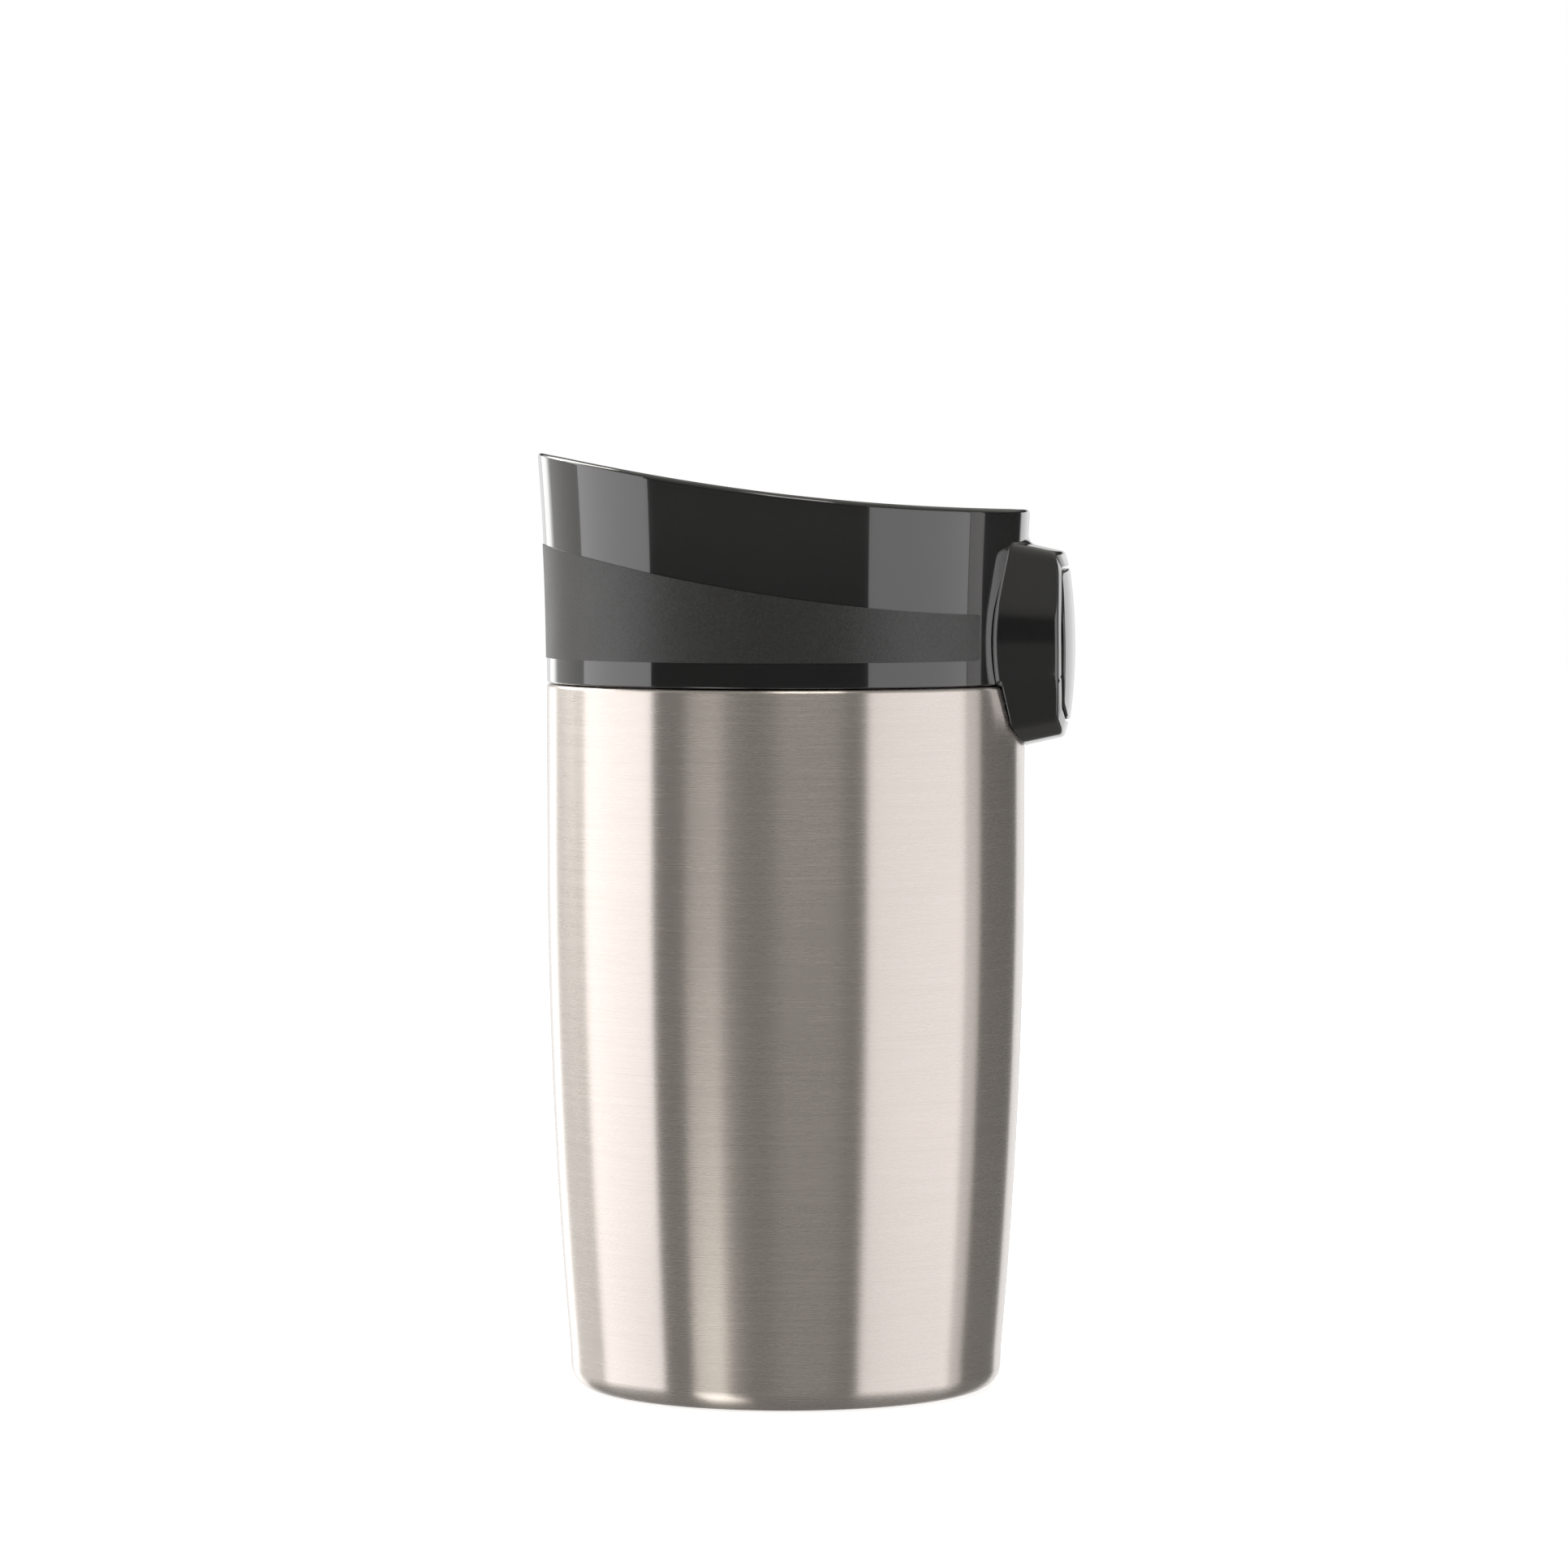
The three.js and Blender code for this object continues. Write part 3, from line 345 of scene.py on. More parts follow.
# Vessel: the outer steel shell, straight above and drawn in below
shell = {"straight": 25.08, "draw": 4.19, "corner": 3.24, "topEdge": 0.6, "wall": 0.6,
         "lip": 36.2, "capGap": 0.1, "openEdge": 0.15, "rings": 12, "insideRings": 5,
         "roundSteps": 7, "steps": 256}
shellHigh = boxOf("outer_shell")[1]
bodyRadius, bodyTop = shellHigh.x, shellHigh.z
taperTop = bodyTop - shell["straight"]
taperArc = (taperTop ** 2 + shell["draw"] ** 2) / (2 * shell["draw"])
capHigh = boxOf("base_cap")[1]


def sideRadius(height):
    below = max(taperTop - height, 0)
    return bodyRadius - taperArc + math.sqrt(taperArc ** 2 - below ** 2)


def sidePoints(inset, low, high, count):
    heights = [low + (high - low) * i / count for i in range(count + 1)]
    return [(sideRadius(h) - inset, h) for h in heights]


def makeShell():
    wall, corner, opening = shell["wall"], shell["corner"], capHigh.x + shell["capGap"]
    outline = [(opening, 0, shell["openEdge"]), (sideRadius(corner), 0, corner)]
    outline += sidePoints(0, 2 * corner, taperTop, shell["rings"])
    outline += [(bodyRadius, bodyTop, shell["topEdge"]), (shell["lip"], bodyTop)]
    outline += [(shell["lip"], bodyTop - wall), (bodyRadius - wall, bodyTop - wall)]
    outline += sidePoints(wall, taperTop, 2 * corner, shell["insideRings"])
    outline += [(sideRadius(corner) - wall, wall, corner - wall), (opening, wall)]
    bm = turnedMesh(outline, shell["steps"], shell["roundSteps"])
    return finishPiece("steelShell", bm, steel, "outer_shell", slot="brushed_steel")


# Ridges of a thread: one section swept up a screw line, its ends running out into the wall
thread = {"lead": 12, "starts": 3, "depth": 0.9, "root": 1.7, "crest": 0.7, "span": 150,
          "embed": 0.25, "round": 0.2, "steps": 60, "runOut": 8, "least": 0.02}


def addThread(bm, wallRadius, outwards, low):
    span = math.radians(thread["span"])
    rise = thread["lead"] * thread["span"] / 360
    for i in range(thread["starts"]):
        begin = 2 * math.pi * i / thread["starts"]
        section = [(-thread["embed"], -thread["root"] / 2), (thread["depth"], -thread["crest"] / 2),
                   (thread["depth"], thread["crest"] / 2), (-thread["embed"], thread["root"] / 2)]
        ridge = bmesh.new()
        verts = [ridge.verts.new((wallRadius + outwards * out, 0, low + up)) for out, up in section]
        ridge.faces.new(verts)
        bmesh.ops.bevel(ridge, geom=verts[1:3], offset=thread["round"], offset_type="OFFSET",
                        segments=2, profile=0.5, affect="VERTICES", material=-1)
        everything = ridge.verts[:] + ridge.edges[:] + ridge.faces[:]
        bmesh.ops.spin(ridge, geom=everything, cent=(0, 0, 0), axis=(0, 0, 1), angle=span,
                       dvec=(0, 0, rise / thread["steps"]), steps=thread["steps"])
        for vert in ridge.verts:
            along = (math.atan2(vert.co.y, vert.co.x) % (2 * math.pi)) / span
            run = min(1, thread["runOut"] * along, thread["runOut"] * abs(1 - along))
            radius = math.hypot(vert.co.x, vert.co.y)
            out = outwards * (radius - wallRadius)
            if out > 0:
                vert.co.xy *= (wallRadius + outwards * out * max(run, thread["least"])) / radius
        bmesh.ops.recalc_face_normals(ridge, faces=ridge.faces[:])
        ridge.transform(Matrix.Rotation(begin, 4, "Z"))
        addMesh(bm, ridge)


# Inner wall: drink space, gasket seat, threaded neck and the flange folded over at the mouth
liner = {"gap": 4.4, "wall": 0.6, "neck": 34.7, "seat": 97.2, "floor": 8, "corner": 5,
         "mouthEdge": 0.3, "seatEdge": 0.8, "neckEdge": 0.4, "ease": 4, "threadUp": 5, "rings": 6,
         "outsideRings": 3, "roundSteps": 6, "steps": 192}


def makeLiner():
    high = boxOf("inner_liner")[1]
    wall, neck, seat, floor = liner["wall"], liner["neck"], liner["seat"], liner["floor"]
    bore = shell["wall"] + liner["gap"] + wall
    cornerTop = floor + liner["corner"]
    sideLow = cornerTop + liner["ease"]
    outline = [(0, floor), (sideRadius(cornerTop) - bore, floor, liner["corner"])]
    outline += sidePoints(bore, sideLow, taperTop, liner["rings"])
    outline += [(bodyRadius - bore, seat, liner["seatEdge"]), (neck, seat, liner["neckEdge"])]
    outline += [(neck, high.z, liner["mouthEdge"])]
    outline += [(high.x, high.z), (high.x, high.z - wall), (neck + wall, high.z - wall)]
    outline += [(neck + wall, seat - wall), (bodyRadius - bore + wall, seat - wall)]
    outline += sidePoints(bore - wall, taperTop, sideLow, liner["outsideRings"])
    outline += [(sideRadius(cornerTop) - bore + wall, floor - wall, liner["corner"] + wall)]
    outline += [(0, floor - wall)]
    bm = turnedMesh(outline, liner["steps"], liner["roundSteps"])
    addThread(bm, neck, -1, seat + liner["threadUp"] + thread["lead"] / thread["starts"] / 2)
    return finishPiece("steelLiner", bm, linerSteel, "inner_liner", slot="plain_steel")


# Base cap: a pressed cup with a stiffening groove, let into the bottom
cap = {"wall": 0.6, "inset": 4.7, "half": 2, "depth": 0.7, "edge": 0.5, "bend": 0.4,
       "innerBend": 0.3, "roundSteps": 4, "steps": 160}


def makeCap():
    wall, depth, groove = cap["wall"], cap["depth"], capHigh.x - cap["inset"]
    inner, outer = groove - cap["half"], groove + cap["half"]
    bend, within, shift = cap["bend"], cap["innerBend"], wall / 2
    outline = [(0, 0), (inner, 0, bend), (inner + depth, depth, bend), (outer - depth, depth, bend)]
    outline += [(outer, 0, bend), (capHigh.x, 0, cap["edge"]), (capHigh.x, capHigh.z)]
    outline += [(capHigh.x - wall, capHigh.z), (capHigh.x - wall, wall)]
    outline += [(outer + shift, wall, within), (outer - depth + shift, depth + wall, within)]
    outline += [(inner + depth - shift, depth + wall, within)]
    outline += [(inner - shift, wall, within), (0, wall)]
    bm = turnedMesh(outline, cap["steps"], cap["roundSteps"])
    return finishPiece("baseDisc", bm, baseSteel, "base_cap", slot="base_steel")


makeShell()
makeLiner()
makeCap()


# Lid: flared wall under a sweeping rim, and the sloping deck with its slot and vent
lid = {"tall": 36.92, "gap": 0.22, "step": 0.02, "flare": 1.458, "wall": 2, "chamfer": 0.3,
       "rimEdge": 0.7, "rimLow": 41.2, "rimArc": 362, "crestGap": 0.03, "deckDrop": 12.8,
       "deckSlope": 0.08, "deck": 2, "border": 0.6, "fillet": 1.4, "leastFillet": 0.25,
       "filletRoom": 0.37, "filletSteps": 5, "tuck": 0.12, "steps": 256, "deckSteps": 192,
       "roundSteps": 6, "flatOn": 0.9,
       "rows": (0.08, 0.166, 0.28, 0.4, 0.52, 0.632, 0.75, 0.87)}
lidLow, lidTop = bodyTop + lid["gap"], bodyTop + lid["tall"]
deckHeight = lidTop - lid["deckDrop"]
deckTilt = math.atan(lid["deckSlope"])
deckUnder = deckHeight - lid["deck"] / math.cos(deckTilt)
deckPlace = Matrix.Translation((0, 0, deckUnder)) @ Matrix.Rotation(-deckTilt, 4, "Y")


def lidRadius(height):
    return bodyRadius - lid["step"] + lid["flare"] * ((height - lidLow) / (lidTop - lidLow)) ** 2


def arcRise(radius, distance):
    return radius - math.sqrt(radius ** 2 - distance ** 2)


rimCrest = lid["rimEdge"] - lidRadius(lidTop)
rimBase = lidTop - lid["crestGap"] - arcRise(lid["rimArc"], rimCrest - lid["rimLow"])


def rimHeight(x):
    return rimBase + arcRise(lid["rimArc"], x - lid["rimLow"])


def makeLidWall():
    tall, base, wall = lidTop - lidLow, lidRadius(lidLow), lid["wall"]
    edge = tall - lid["rimEdge"]
    outline = [(base, 0, lid["chamfer"])]
    outline += [(base, tall * share) for share in lid["rows"]]
    outline += [(base, tall, lid["rimEdge"]), (base - wall, tall, lid["rimEdge"])]
    outline += [(base - wall, tall * share) for share in reversed(lid["rows"])] + [(base - wall, 0)]
    bm = turnedMesh(outline, lid["steps"], lid["roundSteps"])
    for vert in bm.verts:
        radius = math.hypot(vert.co.x, vert.co.y)
        highest = rimHeight(vert.co.x * lidRadius(lidTop) / base) - lidLow
        if vert.co.z > edge:
            height = lidLow + highest + vert.co.z - tall
        else:
            height = lidLow + vert.co.z * (highest - lid["rimEdge"]) / edge
        grown = (radius + lidRadius(height) - base) / radius
        vert.co = (vert.co.x * grown, vert.co.y * grown, height)

    guideLow, guideHigh = boxOf("rod_guide")

    def inOpening(face):  # behind the housing, where the rod and its guide pass
        spot = face.calc_center_median()
        onWall = spot.x > 0 and abs(face.normal.x) > lid["flatOn"]
        return onWall and abs(spot.y) < guideHigh.y and guideLow.z < spot.z < guideHigh.z

    bmesh.ops.delete(bm, geom=[f for f in bm.faces if inOpening(f)], context="FACES")
    bmesh.ops.bridge_loops(bm, edges=[e for e in bm.edges if e.is_boundary])
    bmesh.ops.recalc_face_normals(bm, faces=bm.faces[:])
    return bm


slotShape = {"centre": -28.5, "halfWidth": 2.9, "halfLength": 6.5, "edge": 0.45, "segments": 40,
             "reach": 8}
vent = {"along": -6, "radius": 1.3, "edge": 0.3, "segments": 28, "reach": 2}


def filletAt(x):
    room = rimHeight(x) - (deckHeight + lid["deckSlope"] * x) - lid["filletRoom"]
    return max(min(lid["fillet"], room), lid["leastFillet"])


def makeDeck():
    bm = bmesh.new()
    flat = lidRadius(deckHeight) - lid["wall"] - lid["fillet"]
    bmesh.ops.create_circle(bm, radius=flat, segments=lid["deckSteps"])
    straight = slotShape["halfLength"] - slotShape["halfWidth"]
    turn = Matrix.Rotation(math.pi / slotShape["segments"], 4, "Z")
    slotVerts = bmesh.ops.create_circle(bm, radius=slotShape["halfWidth"],
                                        segments=slotShape["segments"])["verts"]
    bmesh.ops.transform(bm, matrix=turn, verts=slotVerts)
    for vert in slotVerts:
        vert.co.y += math.copysign(straight, vert.co.y)
        vert.co.x += slotShape["centre"]
    hole = bmesh.ops.create_circle(bm, radius=vent["radius"], segments=vent["segments"])["verts"]
    bmesh.ops.translate(bm, vec=(vent["along"], 0, 0), verts=hole)
    bmesh.ops.triangle_fill(bm, edges=bm.edges[:], use_beauty=True)
    for face in bm.faces:
        if face.normal.z < 0:
            face.normal_flip()
    bmesh.ops.inset_region(bm, faces=bm.faces[:], thickness=lid["border"], use_boundary=True,
                           use_even_offset=True)
    bmesh.ops.translate(bm, vec=(0, 0, lid["deck"]), verts=bm.verts[:])
    grown = bmesh.ops.extrude_face_region(bm, geom=bm.faces[:], use_keep_orig=True)
    lower = [v for v in grown["geom"] if isinstance(v, bmesh.types.BMVert)]
    bmesh.ops.translate(bm, vec=(0, 0, -lid["deck"]), verts=lower)
    bmesh.ops.recalc_face_normals(bm, faces=bm.faces[:])

    def around(centre, reach, height):
        def near(vert):
            off = Vector((vert.co.x - centre, vert.co.y)).length
            return off < reach and abs(vert.co.z - height) < close["level"]
        flats = [e for e in bm.edges if near(e.verts[0]) and near(e.verts[1])]
        return [e for e in flats if e.calc_face_angle(0) > 1]

    for height in (0, lid["deck"]):
        slotEdges = around(slotShape["centre"], slotShape["reach"], height)
        bevelEdges(bm, slotEdges, slotShape["edge"], 4)
        bevelEdges(bm, around(vent["along"], vent["reach"], height), vent["edge"], 3)

    def onTopRim(vert):
        return abs(vert.co.xy.length - flat) < close["level"] and vert.co.z > lid["deck"] / 2

    edge = [e for e in bm.edges if all(onTopRim(v) for v in e.verts)]
    for i in range(lid["filletSteps"] + 1):  # up into the wall, smaller where the rim is near
        angle = math.radians(90 * i / lid["filletSteps"])
        edge, verts = growLoop(bm, edge)
        for vert in verts:
            size = filletAt(vert.co.x)
            end = lidRadius(deckHeight + lid["deckSlope"] * vert.co.x) - lid["wall"] + lid["tuck"]
            vert.co.xy *= (end - size * (1 - math.sin(angle))) / vert.co.xy.length
            vert.co.z = lid["deck"] + size * (1 - math.cos(angle))
    bm.transform(deckPlace)
    return bm


pivot = {"along": 5, "below": -5.2}
lug = {"half": 3.2, "inner": 8, "width": 2.2, "overlap": 0.5, "segments": 32}


def addLug(bm, side):
    made = bmesh.ops.create_circle(bm, radius=lug["half"], segments=lug["segments"],
                                   cap_ends=True)["verts"]
    stand = Matrix.Rotation(math.pi / 2, 4, "X")
    bmesh.ops.transform(bm, matrix=stand, verts=made)
    for vert in made:
        if vert.co.z > 0:  # the upper half becomes a straight neck up to the deck
            atMiddle = abs(vert.co.x) <= close["merge"]
            vert.co.x = 0 if atMiddle else math.copysign(lug["half"], vert.co.x)
            vert.co.z = -pivot["below"] + lug["overlap"]
        vert.co.x += pivot["along"]
        vert.co.z += pivot["below"]
        vert.co.y = side * lug["inner"]
    face = made[0].link_faces[0]
    grown = bmesh.ops.extrude_face_region(bm, geom=[face], use_keep_orig=True)["geom"]
    moved = [g for g in grown if isinstance(g, bmesh.types.BMVert)]
    bmesh.ops.translate(bm, vec=(0, side * lug["width"], 0), verts=moved)


def makeLid():
    bm = makeLidWall()
    addMesh(bm, makeDeck())
    lugs = bmesh.new()
    for side in (-1, 1):
        addLug(lugs, side)
    bmesh.ops.remove_doubles(lugs, verts=lugs.verts[:], dist=close["merge"])
    bmesh.ops.recalc_face_normals(lugs, faces=lugs.faces[:])
    lugs.transform(deckPlace)
    addMesh(bm, lugs)
    return finishPiece("lidShell", bm, lidGloss, "lid_shell", slot="gloss_black")


makeLid()


# Grip band: a strip of soft rubber let into the wall, its upper edge a shallow arc
band = {"above": 4.19, "narrow": 6.9, "proud": 0.17, "depth": 0.4, "arcX": 44.9, "arc": 314,
        "corner": 0.9, "edge": 0.1, "rows": 12, "columns": 220, "cornerSteps": 6, "ridge": 0.9,
        "open": 37.8}


def makeBand():
    low = bodyTop + band["above"]
    begin = math.radians(band["open"])
    bm = bmesh.new()
    rows = band["rows"]
    turn = Matrix.Rotation(begin, 4, "Z")
    verts = [bm.verts.new(turn @ Vector((bodyRadius, 0, i / rows))) for i in range(rows + 1)]
    edges = [bm.edges.new(pair) for pair in zip(verts, verts[1:])]
    bmesh.ops.spin(bm, geom=verts + edges, cent=(0, 0, 0), axis=(0, 0, 1),
                   angle=2 * (math.pi - begin), steps=band["columns"])
    for vert in bm.verts:
        angle = math.atan2(vert.co.y, vert.co.x)
        across = bodyRadius * math.cos(angle) - band["arcX"]
        high = low + band["narrow"] + arcRise(band["arc"], across)
        z = low + (high - low) * vert.co.z
        radius = lidRadius(z) + band["proud"]
        vert.co = (radius * math.cos(angle), radius * math.sin(angle), z)
    corners = [v for v in bm.verts if len(v.link_edges) == 2]
    bmesh.ops.bevel(bm, geom=corners, offset=band["corner"], offset_type="OFFSET",
                    segments=band["cornerSteps"], profile=0.5, affect="VERTICES", material=-1)
    bmesh.ops.recalc_face_normals(bm, faces=bm.faces[:])
    if sum(f.normal.xy.dot(f.calc_center_median().xy) for f in bm.faces) < 0:
        bmesh.ops.reverse_faces(bm, faces=bm.faces[:])
    rimEdges = [e for e in bm.edges if e.is_boundary]
    grown = bmesh.ops.extrude_edge_only(bm, edges=rimEdges)["geom"]
    for vert in [g for g in grown if isinstance(g, bmesh.types.BMVert)]:
        inwards = band["proud"] + band["depth"]
        vert.co.xy *= (vert.co.xy.length - inwards) / vert.co.xy.length
    bmesh.ops.recalc_face_normals(bm, faces=bm.faces[:])
    ridge = [e for e in bm.edges if len(e.link_faces) == 2 and e.calc_face_angle(0) > band["ridge"]]
    bevelEdges(bm, ridge, band["edge"], 2)
    return finishPiece("gripBand", bm, bandRubber, "grip_band", slot="soft_grip")


makeBand()


# Button housing: a shield outline that narrows outwards, with a rim round the button.
# Corners are (across, up, roundness) from its middle, at the plane where the taper is nought.
shield = {"corners": [(5.5, -16.1, 2.5), (9.3, -15.1, 1.0), (14.45, -12.4, 1.0), (17.0, -7.1, 0),
                      (20.0, -0.1, 7.0), (17.2, 9.1, 0), (15.2, 15.5, 1.2)],
          "arch": 0.6,
          "plane": 0.64, "taper": 0.0137, "wide": 18.55, "tall": 16.1, "widenUp": 0.0135,
          "widenDown": 0.027, "deepest": -13, "spacing": 0.9, "bigCorner": 3, "bigSteps": 12,
          "smallSteps": 4}
housing = {"reach": 7.19, "crown": 2.9, "crownUp": 1100, "lipFrom": 12.4, "lipFall": 0.1,
           "rim": 2.35, "outerEdge": 0.5, "innerEdge": 0.2, "recess": 2.6, "draft": 0.05,
           "drawnIn": 4, "wallFillet": 0.35, "topFillet": 1.3, "topPower": 8, "underFillet": 0.06,
           "tuck": 0.05, "clearance": 0.6, "embed": 0.4, "back": 1.2, "passage": 6.2,
           "behindEdge": 1.2, "cutSpacing": 0.4, "backShares": (0.05, 0.3, 0.55, 0.78, 1),
           "filletTurns": (15, 30, 45, 60, 75, 90), "blendShares": (0.2, 0.45, 0.7, 1)}
buttonLow, buttonHigh = boxOf("push_button")
middle = (buttonLow.z + buttonHigh.z) / 2
rodHeight = (boxOf("rod_seal")[0].z + boxOf("rod_seal")[1].z) / 2
housingFront = bodyRadius + housing["reach"]


def shieldScale(x):
    return 1 - shield["taper"] * (x - bodyRadius - shield["plane"])


# The outline as a closed wire at x = 0, its corners rounded one by one
def shieldWire(bm, inset=0.0):
    shrinkY, shrinkZ = 1 - inset / shield["wide"], 1 - inset / shield["tall"]
    right = [(y * shrinkY, z * shrinkZ, r) for y, z, r in shield["corners"]]
    left = [(-y, z, r) for y, z, r in reversed(right)]
    verts = [bm.verts.new((0, y, z)) for y, z, r in right + left]
    bm.faces.new(verts)
    for vert, (y, z, r) in zip(verts, right + left):
        if r == 0:
            continue
        segments = shield["bigSteps"] if r > shield["bigCorner"] else shield["smallSteps"]
        bmesh.ops.bevel(bm, geom=[vert], offset=r, offset_type="OFFSET", segments=segments,
                        profile=0.5, affect="VERTICES", material=-1)
    bmesh.ops.delete(bm, geom=bm.faces[:], context="FACES_ONLY")
    for edge in bm.edges[:]:
        cuts = int(edge.calc_length() / shield["spacing"])
        if cuts:
            bmesh.ops.subdivide_edges(bm, edges=[edge], cuts=cuts)
    wide, top = shield["corners"][-1][0] * shrinkY, shield["corners"][-1][1] * shrinkZ
    for vert in bm.verts:  # the top edge is a shallow arch
        if vert.co.z > top - close["level"]:
            vert.co.z += shield["arch"] * max(1 - (vert.co.y / wide) ** 2, 0)


# How far a crowned front falls back from its highest point; the fall is the same all round
def crownFall(crown, y, z):
    widen = shield["widenUp"] if z > 0 else shield["widenDown"]
    return crown * (y / (shield["wide"] - widen * max(z, shield["deepest"]) ** 2)) ** 2


def rimFront(y, z):
    lip = max(abs(z) - housing["lipFrom"], 0) ** 2 * housing["lipFall"]
    return housingFront - crownFall(housing["crown"], y, z) - z * z / housing["crownUp"] - lip


def wallAt(y, z):
    radius = lidRadius(z + middle)
    return math.sqrt(max(radius ** 2 - y * y, 1))


def steelAt(y, clearance):
    return math.sqrt((bodyRadius + clearance) ** 2 - y * y)


def outwardOf(y, z):
    return Vector((y / shield["wide"] ** 2, z / shield["tall"] ** 2)).normalized()


def makeHousing():
    bm = bmesh.new()
    shieldWire(bm)
    passageUp = rodHeight - middle
    scale = shieldScale(bodyRadius - housing["drawnIn"])
    lowest = (lidLow - middle) / scale
    for cut in (lowest, lowest - housing["cutSpacing"]):  # the fillet stops at the lid's edge
        bmesh.ops.bisect_plane(bm, geom=bm.verts[:] + bm.edges[:], plane_co=(0, 0, cut),
                               plane_no=(0, 0, 1))
    loop = bm.edges[:]

    # every loop keeps the flat outline beside it, so each can be set out afresh
    tag = bm.verts.layers.float_vector.new("flat")
    for vert in bm.verts:
        vert[tag] = vert.co.copy()

    def setOut(verts, place):
        for vert in verts:
            vert.co = place(vert[tag].y, vert[tag].z)

    # where the housing grows out of the lid wall, or stands off the steel below the lid
    def filletPlace(angle):
        def place(y, z):
            turn = math.radians(angle)
            across, up = y * scale, z * scale
            out = outwardOf(y, z)
            more = housing["topFillet"] - housing["wallFillet"]
            size = housing["wallFillet"] + more * max(out.y, 0) ** housing["topPower"]
            if up + middle < lidLow:
                size = housing["underFillet"]
            across += out.x * size * (1 - math.sin(turn))
            up += out.y * size * (1 - math.sin(turn))
            if up + middle > lidLow:
                root = wallAt(across, up)
            else:
                root = steelAt(across, housing["clearance"])
            lift = size * (1 - math.cos(turn))
            x = root + lift - (housing["tuck"] if angle == 0 else 0)
            fit = shieldScale(x) / scale
            return Vector((x, across * fit, up * fit))
        return place

    # the round passage for the rod and its spring
    def passageAt(root):
        out = Vector((root.y, root.z - passageUp)).normalized() * housing["passage"]
        return out.x, passageUp + out.y

    def backPlace(share):
        def place(y, z):
            root = filletPlace(0)(y, z)
            aside, above = passageAt(root)
            across = root.y + (aside - root.y) * share
            up = root.z + (above - root.z) * share
            if up + middle > lidLow + housing["behindEdge"]:
                return Vector((wallAt(across, up) - housing["embed"], across, up))
            return Vector((steelAt(across, housing["clearance"]), across, up))
        return place

    def frontPlace(inset, back):
        def place(y, z):
            across, up = y * (1 - inset / shield["wide"]), z * (1 - inset / shield["tall"])
            x = rimFront(across, up)
            for i in range(3):
                x = rimFront(across * shieldScale(x), up * shieldScale(x))
            return Vector((x - back, across * shieldScale(x), up * shieldScale(x)))
        return place

    def blendPlace(share, first, second):
        def place(y, z):
            return first(y, z).lerp(second(y, z), share)
        return place

    setOut(bm.verts, filletPlace(0))
    backLoop = loop
    for share in housing["backShares"]:
        backLoop, verts = growLoop(bm, backLoop)
        setOut(verts, backPlace(share))
    steps = [filletPlace(turn) for turn in housing["filletTurns"]]
    last, rim = steps[-1], frontPlace(0, 0)
    steps += [blendPlace(share, last, rim) for share in housing["blendShares"]]
    steps += [frontPlace(housing["rim"], 0)]
    steps += [frontPlace(housing["rim"] + housing["draft"], housing["recess"])]
    loops = [loop]
    for step in steps:
        front, verts = growLoop(bm, loops[-1])
        setOut(verts, step)
        loops.append(front)
    outer, inner, pocket = loops[-3:]
    deep, verts = growLoop(bm, pocket)
    for vert in verts:
        vert.co.x = bodyRadius + housing["clearance"] + housing["back"]
    deep, verts = growLoop(bm, deep)
    for vert in verts:
        vert.co.y, vert.co.z = passageAt(filletPlace(0)(vert[tag].y, vert[tag].z))
    bmesh.ops.bridge_loops(bm, edges=deep + backLoop)
    bmesh.ops.recalc_face_normals(bm, faces=bm.faces[:])
    bevelEdges(bm, [e for e in outer if e.is_valid], housing["outerEdge"], 3)
    bevelEdges(bm, [e for e in inner if e.is_valid], housing["innerEdge"], 3)
    bm.verts.layers.float_vector.remove(bm.verts.layers.float_vector["flat"])
    bm.transform(Matrix.Translation((0, 0, middle)))
    return finishPiece("buttonHousing", bm, lidGloss, "button_housing", slot="gloss_black",
                       crease=35)


button = {"gap": 0.5, "centre": 0.4, "crown": 3.8, "crownUp": 180, "edge": 0.32, "rings": 7,
          "back": 3.24, "backShares": (0.6, 0.25)}
boss = {"radius": 4, "end": 43.3, "edge": 0.3, "segments": 40}


# A short round stem with rounded ends, about the matrix's own z axis
def addStem(bm, radius, depth, matrix, edge, segments):
    stem = bmesh.new()
    bmesh.ops.create_cone(stem, cap_ends=True, segments=segments, radius1=radius, radius2=radius,
                          depth=depth, matrix=matrix)
    bevelEdges(stem, [e for e in stem.edges if e.calc_face_angle(0) > 1], edge, 3)
    addMesh(bm, stem)


# The button's crowned front
def buttonFront(y, z):
    fall = crownFall(button["crown"], y, z)
    return buttonHigh.x - fall - (z + button["centre"]) ** 2 / button["crownUp"]


